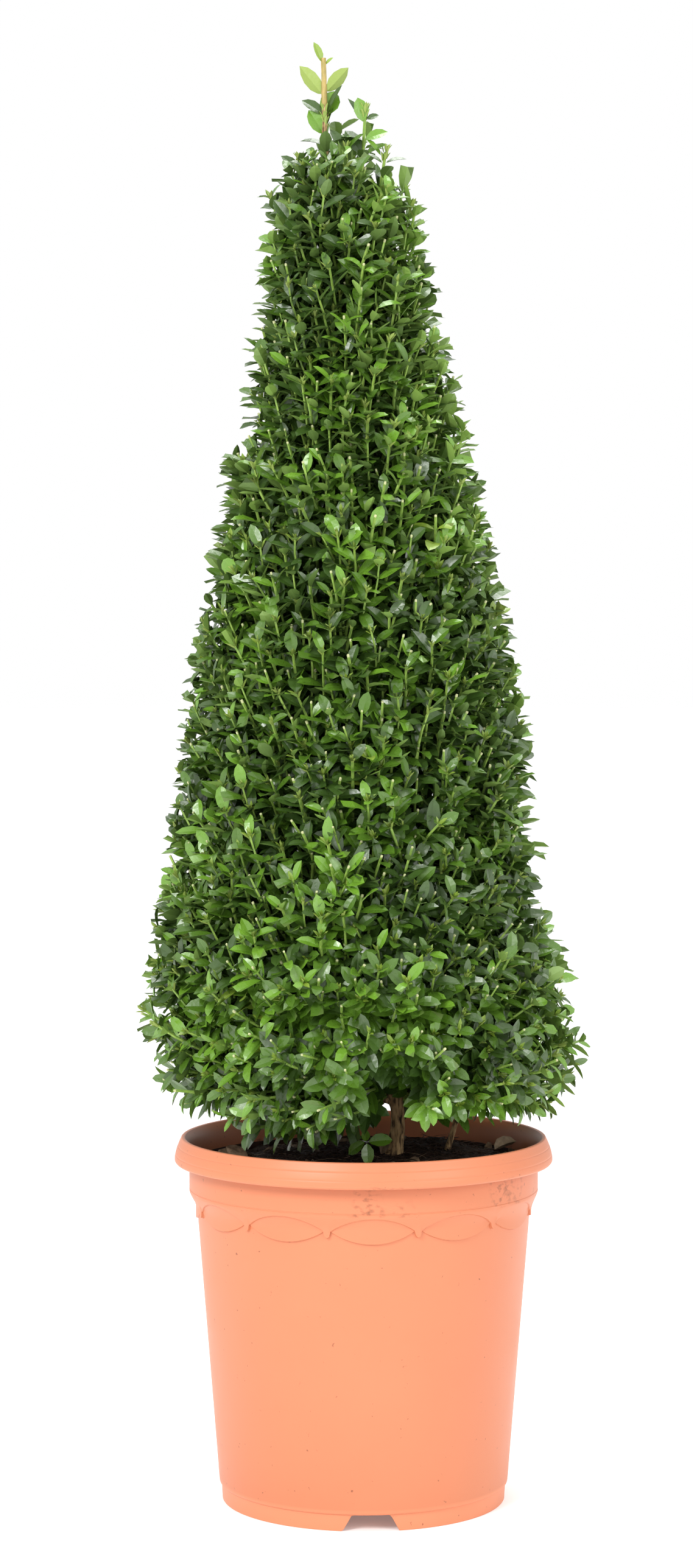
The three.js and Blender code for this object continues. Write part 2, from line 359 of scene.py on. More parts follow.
@dataclass(frozen=True)
class Bark:
    """Fissured grey-brown bark with tan ridges and dark cracks."""

    ridge: Colour = (0.62, 0.42, 0.21)
    plate: Colour = (0.33, 0.21, 0.1)
    crack: Colour = (0.035, 0.02, 0.012)

    def make(self) -> bpy.types.Material:
        """The material."""
        shader = Shader("bark", 0.85, 0.25)
        cracks = shader.noise(420.0, 6.0, (1.0, 1.0, 0.22))
        patches = shader.noise(110.0, 3.0, (1.0, 1.0, 0.5), (3.0, 1.0, 7.0))
        tone = shader.ramp(cracks, ((0.38, self.crack), (0.46, self.plate), (0.58, self.ridge)))
        shader.paint(shader.mix(shader.ramp(patches, ((0.4, 0.0), (0.75, 0.6))), tone, self.plate))
        shader.bump(cracks, 0.8 * MM, 0.8)
        shader.bump(shader.noise(1500.0, 3.0), 0.15 * MM, 0.6)
        return shader.material


@dataclass(frozen=True)
class MouldedPlastic:
    """Satin terracotta-orange plastic, with smears of dried soil on the neck and the rim."""

    body: Colour = (0.56, 0.18, 0.086)
    pale: Colour = (0.57, 0.202, 0.1)
    foot: Colour = (0.66, 0.232, 0.116)
    dirt: Colour = (0.08, 0.028, 0.014)
    smears: tuple[float, float] = (0.247, 0.2695)

    def make(self) -> bpy.types.Material:
        """The material of the outside."""
        shader = Shader("pot_plastic", 0.42, 0.35)
        clouds = shader.noise(14.0, 3.0)
        tone = shader.mix(clouds, self.body, self.pale)
        tone = shader.mix(shader.height_band(-0.02, 0.0145, 3 * MM), tone, self.foot)
        streaks = shader.noise(260.0, 8.0, (0.7, 0.7, 1.1))
        places = shader.noise(21.0, 2.0, (1.0, 1.0, 0.4), (0.31, 0.0, 0.12))
        where = shader.math("MULTIPLY", shader.height_band(*self.smears, 2 * MM),
                            shader.ramp(places, ((0.57, 0.0), (0.66, 1.0))))
        smear = shader.math("MULTIPLY", where, shader.ramp(streaks, ((0.48, 0.0), (0.8, 0.85))))
        flecks = shader.ramp(shader.noise(230.0, 4.0, shift=(5.0, 2.0, 9.0)), ((0.7, 0.0), (0.76, 0.6)))
        tone = shader.mix(flecks, tone, self.dirt)
        shader.paint(shader.mix(smear, tone, self.dirt))
        shader.paint(shader.ramp(clouds, ((0.3, 0.38), (0.7, 0.48))), "Roughness")
        shader.bump(shader.noise(900.0, 3.0), 0.06 * MM, 0.5)
        shader.bump(shader.noise(26.0, 2.0, (1.0, 1.0, 0.5)), 0.6 * MM, 0.4)
        return shader.material


# Damp dark fibrous compost, and the pot's inside, painted dark brown as the shade that falls under the
# crown.
PEAT = TwoTone(
    "peat", (0.0075, 0.0042, 0.003), (0.042, 0.022, 0.013), 0.86, 0.3, 620.0, 8.0,
    stops=(0.38, 0.6), relief=(1.2 * MM, 0.9),
)
# Painted shade: the orange pot's inside is painted dark brown, standing in for the shade under the crown.
SHADE_PAINTED_INSIDE = TwoTone(
    "pot_inside", (0.065, 0.019, 0.01), (0.02, 0.009, 0.006), 0.6, 0.35, 70.0, 6.0,
    (1.0, 1.0, 0.7), (0.38, 0.62), (0.3 * MM, 0.6),
)


class Tone(Enum):
    """The tones of leaf, from the oldest to the youngest."""

    DEEP = Foliage("deep", (0.036, 0.078, 0.011), (0.09, 0.16, 0.028), 0.33)
    MIDDLE = Foliage("middle", (0.062, 0.137, 0.011), (0.15, 0.25, 0.045), 0.31)
    BRIGHT = Foliage("bright", (0.122, 0.258, 0.021), (0.2, 0.33, 0.06), 0.3)
    FRESH = Foliage("fresh", (0.19, 0.29, 0.028), (0.22, 0.3, 0.05), 0.42)


TONES = list(Tone)


# ------------------------------------------------------------------ repeated shapes


@dataclass(frozen=True)
class Pattern:
    """A small closed mesh held as arrays, to be repeated by the thousand.

    Attributes:
        points: Vertex places, (v, 3).
        corners: Vertex numbers of every face, one face after another.
        sizes: Number of corners of each face.
        finishes: Material number of each face.
        crease: True for the vertices that creased edges join.
    """

    points: np.ndarray
    corners: np.ndarray
    sizes: np.ndarray
    finishes: np.ndarray
    crease: np.ndarray

    @classmethod
    def of(cls, shape: bmesh.types.BMesh, crease: Sequence[bmesh.types.BMVert] = ()) -> Pattern:
        """Reads a finished shape and frees it.

        Args:
            shape: The modelled shape.
            crease: Its vertices along creases.

        Returns:
            The shape as arrays.
        """
        shape.verts.index_update()
        marked = np.zeros(len(shape.verts), bool)
        marked[[vert.index for vert in crease]] = True
        pattern = cls(
            points=np.array([vert.co for vert in shape.verts]),
            corners=np.array([vert.index for face in shape.faces for vert in face.verts]),
            sizes=np.array([len(face.verts) for face in shape.faces]),
            finishes=np.array([face.material_index for face in shape.faces]),
            crease=marked,
        )
        shape.free()
        return pattern


class Bundle:
    """Collects copies of patterns and joins them into one mesh object."""

    def __init__(self, name: str, finishes: Sequence[bpy.types.Material]) -> None:
        """Starts an empty bundle with its materials."""
        self.name = name
        self.materials = list(finishes)
        self.count = 0
        self.parts: dict[str, list[np.ndarray]] = {
            key: [] for key in ("points", "corners", "sizes", "finishes", "crease")
        }

    def add(self, pattern: Pattern, places: np.ndarray) -> None:
        """Adds copies of a pattern.

        Args:
            pattern: The shape that is repeated.
            places: Vertex places of every copy, (n, v, 3).
        """
        copies, verts = places.shape[:2]
        starts = self.count + np.arange(copies)[:, None] * verts
        self.parts["points"].append(places.reshape(-1, 3))
        self.parts["corners"].append((starts + pattern.corners).ravel())
        self.parts["sizes"].append(np.tile(pattern.sizes, copies))
        self.parts["finishes"].append(np.tile(pattern.finishes, copies))
        self.parts["crease"].append(np.tile(pattern.crease, copies))
        self.count += copies * verts

    def build(self, smooth: bool = True) -> bpy.types.Object:
        """Joins what was added into an object at the origin.

        Args:
            smooth: True for smooth shading between creases.

        Returns:
            The object.
        """
        data = {key: np.concatenate(value) for key, value in self.parts.items()}
        mesh = bpy.data.meshes.new(self.name)
        mesh.vertices.add(len(data["points"]))
        mesh.vertices.foreach_set("co", data["points"].astype(np.float32).ravel())
        mesh.loops.add(len(data["corners"]))
        mesh.loops.foreach_set("vertex_index", data["corners"].astype(np.int32))
        mesh.polygons.add(len(data["sizes"]))
        starts = np.concatenate([[0], np.cumsum(data["sizes"])[:-1]])
        mesh.polygons.foreach_set("loop_start", starts.astype(np.int32))
        mesh.polygons.foreach_set("material_index", data["finishes"].astype(np.int32))
        mesh.update(calc_edges=True)
        mesh.polygons.foreach_set("use_smooth", np.full(len(data["sizes"]), smooth))
        ends = np.empty(len(mesh.edges) * 2, np.int32)
        mesh.edges.foreach_get("vertices", ends)
        creased = data["crease"][ends.reshape(-1, 2)].all(axis=1)
        sharp = mesh.attributes.new("sharp_edge", "BOOLEAN", "EDGE")
        sharp.data.foreach_set("value", creased)
        for material in self.materials:
            mesh.materials.append(material)
        made = bpy.data.objects.new(self.name, mesh)
        bpy.context.scene.collection.objects.link(made)
        return made


def finish_piece(made: bpy.types.Object, replaced: Sequence[str] = ()) -> None:
    """Rides a finished piece on the body, hides the CAD nodes that it stands for, and logs it.

    Args:
        made: The finished object.
        replaced: CAD nodes that it stands for.
    """
    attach(made, ROOT)
    if replaced:
        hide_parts(*replaced)
    triangles = sum(len(face.vertices) - 2 for face in made.data.polygons)
    LOG.info("%s: %d triangles", made.name, triangles)


def bar_pattern(sides: int, rings: int) -> Pattern:
    """A closed round bar of radius 1 and length 1 along Z, cut into rings.

    Args:
        sides: Sides of the section.
        rings: Sections along the bar, both ends counted.

    Returns:
        The bar. A point's Z is its share along the bar.
    """
    shape = bmesh.new()
    bmesh.ops.create_cone(
        shape, cap_ends=True, cap_tris=False, segments=sides, radius1=1, radius2=1, depth=1
    )
    bmesh.ops.translate(shape, verts=shape.verts, vec=(0, 0, 0.5))
    if rings > 2:
        uprights = [e for e in shape.edges if abs(e.verts[0].co.z - e.verts[1].co.z) > 0.5]
        bmesh.ops.subdivide_edges(shape, edges=uprights, cuts=rings - 2, use_grid_fill=True)
    ends = [vert for vert in shape.verts if vert.co.z < 1e-4 or vert.co.z > 1 - 1e-4]
    return Pattern.of(shape, ends)


def bent(pattern: Pattern, paths: np.ndarray, radii: np.ndarray) -> np.ndarray:
    """Copies of a bar bent along paths.

    Args:
        pattern: The bar.
        paths: Centre lines, (n, s, 3), with as many points as the bar has rings.
        radii: Radius at each point, (n, s).

    Returns:
        Vertex places, (n, v, 3).
    """
    tangents = unit(np.gradient(paths, axis=1))
    side = np.empty_like(tangents)
    side[:, 0] = across(tangents[:, 0])
    for i in range(1, paths.shape[1]):
        along = np.sum(side[:, i - 1] * tangents[:, i], axis=-1, keepdims=True)
        side[:, i] = unit(side[:, i - 1] - along * tangents[:, i])
    other = np.cross(tangents, side)
    ring = np.rint(pattern.points[:, 2] * (paths.shape[1] - 1)).astype(int)
    u, v = pattern.points[:, 0, None], pattern.points[:, 1, None]
    return paths[:, ring] + radii[:, ring, None] * (side[:, ring] * u + other[:, ring] * v)


@dataclass(frozen=True)
class LeafShape:
    """A leaf's outline: half widths, as shares of the widest, at shares of its length."""

    stations: tuple[tuple[float, float], ...]
    pointed: bool = True
    thickness: float = 0.35 * MM

    def pattern(self) -> Pattern:
        """The closed leaf, 1 long along Y and 1 wide each side, with its underside below."""
        rows = len(self.stations)
        shape = bmesh.new()
        bmesh.ops.create_grid(shape, x_segments=2, y_segments=rows - 1, size=1)
        ranked = sorted(shape.verts, key=lambda vert: (round(vert.co.y, 4), vert.co.x))
        for number, vert in enumerate(ranked):
            share, width = self.stations[number // 3]
            vert.co = ((number % 3 - 1) * max(width, 0.02), share, 0.0)
        merged = [ranked[:3], ranked[-3:]] if self.pointed else [ranked[:3]]
        for row in merged:
            bmesh.ops.pointmerge(shape, verts=row, merge_co=(0, row[0].co.y, 0))
        outline = [vert for vert in shape.verts if vert.is_boundary]
        spots = {tuple(round(c, 4) for c in vert.co) for vert in outline}
        lower = bmesh.ops.duplicate(shape, geom=[*shape.verts, *shape.edges, *shape.faces])["geom"]
        below = [item for item in lower if isinstance(item, bmesh.types.BMFace)]
        bmesh.ops.reverse_faces(shape, faces=below)
        for face in below:
            face.material_index = 1
        for item in lower:
            if isinstance(item, bmesh.types.BMVert) and not item.is_boundary:
                item.co.z = -1.0
        bmesh.ops.remove_doubles(shape, verts=shape.verts, dist=1e-4)
        rim = [v for v in shape.verts if tuple(round(c, 4) for c in v.co) in spots]
        middle = [v for v in shape.verts if abs(v.co.x) < 1e-4 and v not in rim]
        return Pattern.of(shape, [*rim, *middle])


class Leaf(Enum):
    """The leaf patterns, from the fullest to the plainest, and the one that the shears cut."""

    FULL = LeafShape(((0, 0), (0.1, 0.46), (0.32, 0.93), (0.58, 0.98), (0.82, 0.66), (1, 0)))
    MEDIUM = LeafShape(((0, 0), (0.18, 0.68), (0.48, 1.0), (0.8, 0.72), (1, 0)))
    PLAIN = LeafShape(((0, 0), (0.3, 0.92), (0.7, 0.88), (1, 0)))
    SHEARED = LeafShape(((0, 0), (0.2, 0.55), (0.55, 0.92), (1, 0.98)), pointed=False)


@dataclass
class Leaves:
    """Many leaves as arrays, one row each.

    Attributes:
        base: Where each leaf joins its stem.
        heading: Unit vector from the base towards the tip.
        face: Unit vector that the upper side faces at the base.
        length: Leaf lengths.
        width: Full widths.
        fold: How far the edges are raised, as a share of the half width.
        curl: Radians that the leaf bends back between base and tip.
        twist: Radians that it turns about its own length.
        tone: Number of the leaf's tone.
        region: Number of the part of the crown that it belongs to.
    """

    base: np.ndarray
    heading: np.ndarray
    face: np.ndarray
    length: np.ndarray
    width: np.ndarray
    fold: np.ndarray
    curl: np.ndarray
    twist: np.ndarray
    tone: np.ndarray
    region: np.ndarray

    def pick(self, chosen: np.ndarray) -> Leaves:
        """The leaves that a mask or a list of numbers names."""
        return Leaves(**{key: value[chosen] for key, value in vars(self).items()})

    @classmethod
    def joined(cls, several: Sequence[Leaves]) -> Leaves:
        """Several sets of leaves as one."""
        keys = vars(several[0])
        return cls(**{key: np.concatenate([vars(s)[key] for s in several]) for key in keys})

    def tips(self) -> np.ndarray:
        """Where each leaf's tip is, for a leaf without curl."""
        return self.base + self.heading * self.length[:, None]

    def placed(self, pattern: Pattern, thickness: float) -> np.ndarray:
        """Vertex places of each leaf with the given pattern, (n, v, 3)."""
        u, v, w = (pattern.points[None, :, i] for i in range(3))
        side = np.cross(self.heading, self.face)[:, None, :]
        ahead, above = self.heading[:, None, :], self.face[:, None, :]
        bend = (self.curl + 1e-4)[:, None]
        angle = bend * v
        run = self.length[:, None] * np.sin(angle) / bend
        drop = -self.length[:, None] * (1 - np.cos(angle)) / bend
        lift = above * np.cos(angle)[..., None] + ahead * np.sin(angle)[..., None]
        turn = (self.twist[:, None] * v)[..., None]
        sideways = side * np.cos(turn) + lift * np.sin(turn)
        raised = lift * np.cos(turn) - side * np.sin(turn)
        half = (self.width / 2)[:, None]
        edge = (self.fold[:, None] * np.abs(u) * half + w * thickness)[..., None]
        return (
            self.base[:, None, :]
            + ahead * run[..., None]
            + above * drop[..., None]
            + sideways * (u * half)[..., None]
            + raised * edge
        )


# ------------------------------------------------------------------ the frame's solids


class Solid:
    """One closed solid of the frame, with its faces as arrays and a tree to search them."""

    def __init__(self, node: bpy.types.Object) -> None:
        """Reads the node's mesh. The node itself is left alone."""
        copy = bmesh.new()
        copy.from_mesh(node.data)
        bmesh.ops.remove_doubles(copy, verts=copy.verts, dist=1e-6)
        self.points = np.array([vert.co for vert in copy.verts])
        triangles = [[vert.index for vert in face.verts] for face in copy.faces]
        self.tree = BVHTree.FromPolygons(self.points.tolist(), triangles)
        corners = self.points[np.array(triangles)]
        copy.free()
        self.corners = corners
        crossed = np.cross(corners[:, 1] - corners[:, 0], corners[:, 2] - corners[:, 0])
        self.areas = np.linalg.norm(crossed, axis=1) / 2
        self.normals = unit(crossed)
        self.low, self.high = self.points.min(0), self.points.max(0)

    def depth(self, points: np.ndarray) -> np.ndarray:
        """How deep each point lies inside the solid, and less than 0 outside."""
        found = np.empty(len(points))
        for i, point in enumerate(points.tolist()):
            spot, normal, _, distance = self.tree.find_nearest(point)
            inside = (Vector(point) - spot).dot(normal) < 0
            found[i] = distance if inside else -distance
        return found

    def scatter(self, count: int, rng: np.random.Generator) -> tuple[np.ndarray, np.ndarray]:
        """Random points on the surface, evenly by area, with their faces' normals."""
        chosen = rng.choice(len(self.areas), count, p=self.areas / self.areas.sum())
        a, b = np.sqrt(rng.random((count, 1))), rng.random((count, 1))
        first, second, third = (self.corners[chosen, i] for i in range(3))
        points = first * (1 - a) + second * (a * (1 - b)) + third * (a * b)
        return points, self.normals[chosen]


class Crown:
    """The outline that the plant is clipped to: the frame's foliage solids together.

    Depths are measured no further out than far.
    """

    far: float = 60 * MM

    def __init__(self, solids: dict[str, Solid]) -> None:
        """Keeps the solids by name."""
        self.solids = solids

    def depth(self, points: np.ndarray) -> np.ndarray:
        """How deep each point lies inside the crown, and less than 0 outside it."""
        best = np.full(len(points), -self.far)
        for solid in self.solids.values():
            near = (points > solid.low - self.far) & (points < solid.high + self.far)
            close = near.all(axis=1)
            if close.any():
                best[close] = np.maximum(best[close], solid.depth(points[close]))
        return best

    def skin(self, density: float, rng: np.random.Generator) -> tuple[np.ndarray, ...]:
        """Random points on the crown's outer surface.

        Args:
            density: Points per square metre.
            rng: The source of random numbers.

        Returns:
            The points, their normals and the number of the solid that each lies on.
        """
        found = []
        for number, (name, solid) in enumerate(self.solids.items()):
            points, normals = solid.scatter(max(8, int(solid.areas.sum() * density)), rng)
            others = Crown({key: value for key, value in self.solids.items() if key != name})
            free = others.depth(points + normals * MM) < 0
            found.append((points[free], normals[free], np.full(free.sum(), number)))
        return tuple(np.concatenate(columns) for columns in zip(*found))


@dataclass
class Axis:
    """The centre line and the radii of a stem or a bough of the frame."""

    centres: np.ndarray
    radii: np.ndarray

    @classmethod
    def of(cls, solid: Solid, direction: np.ndarray) -> Axis:
        """Reads the rings of a limb.

        Args:
            solid: The limb.
            direction: Roughly where it grows. Its rings stand apart along it.

        Returns:
            The middle and the radius of each ring, in order.
        """
        along = solid.points @ direction
        order = np.argsort(along)
        breaks = np.nonzero(np.diff(along[order]) > 3 * MM)[0] + 1
        rings = [solid.points[ring] for ring in np.split(order, breaks)]
        centres = np.array([(ring.min(0) + ring.max(0)) / 2 for ring in rings])
        radii = [np.linalg.norm(r - c, axis=1).max() for r, c in zip(rings, centres)]
        return cls(centres, np.array(radii))

    def at(self, share: np.ndarray) -> tuple[np.ndarray, np.ndarray]:
        """Smoothly joined centres and radii at shares of the number of rings."""
        spot = np.clip(share, 0, 1) * (len(self.centres) - 1)
        low = np.clip(spot.astype(int), 0, len(self.centres) - 2)
        t = (spot - low)[:, None]
        ends = [np.clip(low + i, 0, len(self.centres) - 1) for i in (-1, 0, 1, 2)]
        a, b, c, d = (self.centres[i] for i in ends)
        points = 0.5 * (2 * b + (c - a) * t + (2 * a - 5 * b + 4 * c - d) * t**2
                        + (3 * b - a - 3 * c + d) * t**3)
        return points, np.interp(spot, np.arange(len(self.radii)), self.radii)

    def at_height(self, height: np.ndarray) -> np.ndarray:
        """The centre line's points at heights, for a limb that rises all the way."""
        z = self.centres[:, 2]
        return np.stack([np.interp(height, z, self.centres[:, i]) for i in range(3)], axis=-1)


# ------------------------------------------------------------------ wood


@dataclass
class Woodwork:
    """The old wood: the main stem, the side stem and the boughs, with their bark's relief."""

    solids: dict[str, Solid]
    bark: bpy.types.Material
    young: bpy.types.Material
    young_above: float = 1.098
    rough: float = 0.75 * MM
    sides: int = 30
    ring_gap: float = 1.6 * MM
    knot: float = 1.5 * MM
    knot_reach: float = 6.5 * MM
    stem: Axis = field(init=False)
    side_stem: Axis = field(init=False)
    boughs: dict[str, Axis] = field(init=False)

    def __post_init__(self) -> None:
        """Reads the limbs' axes from the frame."""
        self.stem = Axis.of(self.solids["main_stem"], UP)
        self.side_stem = Axis.of(self.solids["side_stem"], UP)
        self.boughs = {}
        for name, solid in self.solids.items():
            if name.startswith("bough"):
                middle = solid.points.mean(0)
                foot = self.stem.at_height(middle[2])
                self.boughs[name] = Axis.of(solid, unit((middle - foot) * [1, 1, 0]))

    def build(self) -> None:
        """Models every limb and finishes it."""
        for name, axis in (("main_stem", self.stem), ("side_stem", self.side_stem)):
            made = self._limb(f"{name}_bark", axis, self._knots if name == "main_stem" else None)
            finish_piece(made, [name])
        for name, axis in self.boughs.items():
            finish_piece(self._limb(f"{name}_bark", self._rooted(axis)), [name])

    def _rooted(self, axis: Axis) -> Axis:
        """A bough's axis carried on into the stem that it grows from."""
        foot = self.stem.at_height(axis.centres[0][2] - 2 * MM)
        return Axis(np.vstack([foot, axis.centres]), np.concatenate([axis.radii[:1] * 1.35, axis.radii]))

    def _knots(self, points: np.ndarray) -> np.ndarray:
        """How far the stem swells at each point, where a bough leaves it."""
        swell = np.zeros(len(points))
        for axis in self.boughs.values():
            away = np.linalg.norm(points - axis.centres[0], axis=1)
            swell += self.knot * np.exp(-((away / self.knot_reach) ** 2))
        return swell

    def _limb(
        self, name: str, axis: Axis, swell: Callable[[np.ndarray], np.ndarray] | None = None
    ) -> bpy.types.Object:
        """One limb with its relief.

        Args:
            name: The piece's name.
            axis: Its centre line and radii.
            swell: Gives an extra swelling for each point, or nothing.

        Returns:
            The object.
        """
        length = np.linalg.norm(np.diff(axis.centres, axis=0), axis=1).sum()
        rings = max(8, int(length / self.ring_gap))
        centres, radii = axis.at(np.linspace(0, 1, rings))
        pattern = bar_pattern(self.sides, rings)
        places = bent(pattern, centres[None], radii[None])[0]
        ring = np.rint(pattern.points[:, 2] * (rings - 1)).astype(int)
        push = unit(places - centres[ring])
        thin = np.clip(radii[ring] / (5 * MM), 0.25, 1.2)
        cracks = relief(places, (330.0, 330.0, 60.0), 3, 4.0)
        lumps = relief(places, (90.0, 90.0, 70.0), 2, 9.0)
        height = self.rough * thin * (1.6 * np.minimum(cracks, 0.25) + 0.9 * lumps)
        if swell is not None:
            height = height + swell(places)
        first = np.concatenate([[0], np.cumsum(pattern.sizes)[:-1]])
        foot = places[pattern.corners[first], 2]
        pattern = replace(pattern, finishes=(foot > self.young_above).astype(int))
        bundle = Bundle(name, [self.bark, self.young])
        bundle.add(pattern, (places + push * height[:, None])[None])
        return bundle.build()


# ------------------------------------------------------------------ growth


class Region(Enum):
    """Parts of the crown whose leaves and shoots are joined apart."""

    SKIRT = 0
    CONE_LOW = 1
    CONE_MIDDLE = 2
    CONE_HIGH = 3
    TUFTS = 4


REGIONS = list(Region)


@dataclass
class Shoots:
    """Leafy shoots as arrays: each is a curve from its twig to its tip.

    Attributes:
        ends: Start, knee and tip of each curve.
        length: Length of each shoot.
        spray: Number of the spray, or twig, that each grows on.
        cut: True where the shears took the tip.
        tone: Number of each shoot's tone.
        region: Number of its part of the crown.
        size: Leaf length on each shoot.
    """

    ends: tuple[np.ndarray, np.ndarray, np.ndarray]
    length: np.ndarray
    spray: np.ndarray
    cut: np.ndarray
    tone: np.ndarray
    region: np.ndarray
    size: np.ndarray


@dataclass
class Growth:
    """The seeded branching rule: stem to limbs, limbs to twigs, twigs to shoots.

    Attributes:
        density: Points per square metre from which the tips are chosen.
        reach: How far below its tips a spray forks.
        bare: Solids whose leaves are named one by one.
        shallow_share: Share of the tips that lie right under the clipped skin.
        hanging_share: Share of the tips over the pot that hang lower, by the droop at most.
        window: Half width and top of the gap before the foot of the stem.
        dents: Side, height, depth and spread of each shallow dent in the outline.
    """

    crown: Crown
    wood: Woodwork
    rng: np.random.Generator
    density: float = 60000.0
    tip_gap: float = 12.4 * MM
    spray_gap: float = 36 * MM
    limb_gap: float = 92 * MM
    reach: float = 74 * MM
    bare: tuple[str, ...] = ("leader_leaves", "sprig_by_stem", "tuft_leader", "tuft_right")
    tuft_thinning: float = 0.6
    skirt_thinning: float = 0.22
    shallow_share: float = 0.42
    hanging_share: float = 0.78
    droop: float = 24 * MM
    window: tuple[float, float] = (25 * MM, 0.37)
    dents: tuple[tuple[float, float, float, float], ...] = (
        (1, 0.50, 19 * MM, 0.1),
        (-1, 0.88, 11 * MM, 0.1),
        (-1, 0.335, 21 * MM, 0.042),
        (1, 0.335, 8 * MM, 0.04),
    )
    leaf: float = 22.5 * MM
    cut_share: float = 0.5

    # How much a shoot grows up and how much outwards, by height.
    heights: tuple[float, ...] = (0.28, 0.34, 0.40, 0.47, 0.60, 0.80, 1.00, 1.12)
    upward: tuple[float, ...] = (-0.25, 0.10, 0.60, 0.85, 0.95, 1.00, 1.00, 1.00)
    sideward: tuple[float, ...] = (1.00, 1.00, 0.85, 0.60, 0.48, 0.38, 0.30, 0.12)

    # Odds of each tone low down and high up, and what the right edge adds to them.
    low_odds: tuple[float, ...] = (0.22, 0.46, 0.29, 0.015)
    high_odds: tuple[float, ...] = (0.44, 0.36, 0.17, 0.015)
    edge_odds: tuple[float, ...] = (-0.1, -0.05, 0.12, 0.08)

    def from_axis(self, points: np.ndarray) -> np.ndarray:
        """The level unit vectors from the stem to points."""
        return unit((points - self.wood.stem.at_height(points[:, 2])) * [1, 1, 0])

    def heading(self, tips: np.ndarray) -> np.ndarray:
        """Where the shoots with these tips grow."""
        up = np.interp(tips[:, 2], self.heights, self.upward)[:, None]
        side = np.interp(tips[:, 2], self.heights, self.sideward)[:, None]
        away = self.from_axis(tips)
        around = np.cross(UP, away) * self.rng.normal(0, 0.22, (len(tips), 1))
        stray = self.rng.normal(0, 0.12, tips.shape)
        return unit(UP * up + away * side + around + stray)

    def tips(self) -> tuple[np.ndarray, np.ndarray]:
        """Tips of all shoots, just under the crown's skin.

        Returns:
            The tips and the number of the solid under whose skin each lies.
        """
        names = np.array(list(self.crown.solids))
        points, normals, solid = self._leafy_skin(names)
        count = len(points)
        shallow = self.rng.random(count) < self.shallow_share
        depth = np.where(shallow, self.rng.uniform(2, 9, count), self.rng.uniform(10, 27, count))
        loose = np.char.startswith(names, "skirt")[solid]
        depth = np.where(loose, self.rng.uniform(-5, 30, count), depth)
        tips = points - normals * depth[:, None] * MM
        self._hang(tips, normals)
        self._dent(tips)
        beside = tips - self.wood.stem.at_height(tips[:, 2])
        half, top = self.window
        open_front = (np.abs(beside[:, 0] - 3 * MM) < half) & (beside[:, 1] < 0) & (tips[:, 2] < top)
        return tips[~open_front], solid[~open_front]

    def _leafy_skin(self, names: np.ndarray) -> tuple[np.ndarray, ...]:
        """Spaced points on the leafy skin, with normals and solids: few under the crown's middle."""
        skin = self.crown.skin(self.density, self.rng)
        points, normals, solid = sifted(skin, ~np.isin(names, self.bare)[skin[2]])
        axis = self.wood.stem.at_height(points[:, 2])
        radius = np.linalg.norm((points - axis)[:, :2], axis=1)
        under = normals[:, 2] < -0.55
        inner = np.clip((110 * MM - radius) / (70 * MM), 0, 0.96)
        keep = self.rng.random(len(points)) > np.where(under, 0.25 + 0.75 * inner, 0)
        skin = sifted((points, normals, solid), keep)
        skin = sifted(skin, self.rng.permutation(len(skin[0])))
        skin = sifted(skin, spaced(skin[0], self.tip_gap))
        thin = np.char.startswith(names, "tuft") * self.tuft_thinning
        thin = thin + np.char.startswith(names, "skirt") * self.skirt_thinning
        return sifted(skin, self.rng.random(len(skin[0])) > thin[skin[2]])

    def _hang(self, tips: np.ndarray, normals: np.ndarray) -> None:
        """Lowers some of the tips over the pot, but not those before the stem."""
        over_pot = np.linalg.norm(tips[:, :2], axis=1) < 125 * MM
        over_pot &= (tips[:, 1] > 10 * MM) | (tips[:, 0] < -45 * MM)
        chosen = self.rng.random(len(tips)) < self.hanging_share
        hanging = over_pot & (normals[:, 2] < -0.4) & chosen
        tips[hanging] -= UP * self.rng.uniform(2 * MM, self.droop, (int(hanging.sum()), 1))

    def _dent(self, tips: np.ndarray) -> None:
        """Draws the tips in where the outline is shallowly dented."""
        for side, height, push, spread in self.dents:
            weight = np.clip(side * tips[:, 0] / (90 * MM), 0, 1)
            weight = weight * np.exp(-(((tips[:, 2] - height) / spread) ** 2))
            tips -= self.from_axis(tips) * (push * weight)[:, None]

    def grouped(self, points: np.ndarray, gap: float) -> tuple[np.ndarray, int]:
        """The number of the group that each point falls in, and how many groups there are."""
        seeds = points[spaced(points, gap)]
        away = ((points[:, None, :] - seeds[None, :, :]) ** 2).sum(axis=2)
        names, group = np.unique(away.argmin(axis=1), return_inverse=True)
        return group, len(names)

    @staticmethod
    def means(values: np.ndarray, group: np.ndarray, count: int) -> np.ndarray:
        """The mean of the values in each group."""
        total = np.zeros((count, values.shape[1]))
        np.add.at(total, group, values)
        return total / np.bincount(group, minlength=count)[:, None]

    def region_of(self, tips: np.ndarray, solid: np.ndarray) -> np.ndarray:
        """The number of the part of the crown that each tip belongs to."""
        names = np.array(list(self.crown.solids))[solid]
        low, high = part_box("crown_cone")
        share = (tips[:, 2] - low.z) / (high.z - low.z)
        cone = np.select([share < 0.3, share < 0.6], [1, 2], 3)
        skirt = np.char.startswith(names, "skirt") | (names == "sprig_by_stem")
        tuft = np.char.startswith(names, "tuft") | (names == "leader_leaves")
        return np.select([skirt, tuft], [Region.SKIRT.value, Region.TUFTS.value], cone)

    def tones(self, tips: np.ndarray) -> np.ndarray:
        """A tone for each place: older high up, younger low down and on the right edge."""
        share = np.clip((tips[:, 2] - 0.35) / 0.6, 0, 1)[:, None]
        odds = np.array(self.low_odds) * (1 - share) + np.array(self.high_odds) * share
        edge = np.clip((self.from_axis(tips)[:, :1] - 0.75) * 2.4, 0, 1)
        odds = odds + edge * np.array(self.edge_odds)
        odds = np.cumsum(np.maximum(odds, 0.005), axis=1)
        draw = self.rng.random((len(tips), 1)) * odds[:, -1:]
        return (draw > odds[:, :-1]).sum(axis=1)

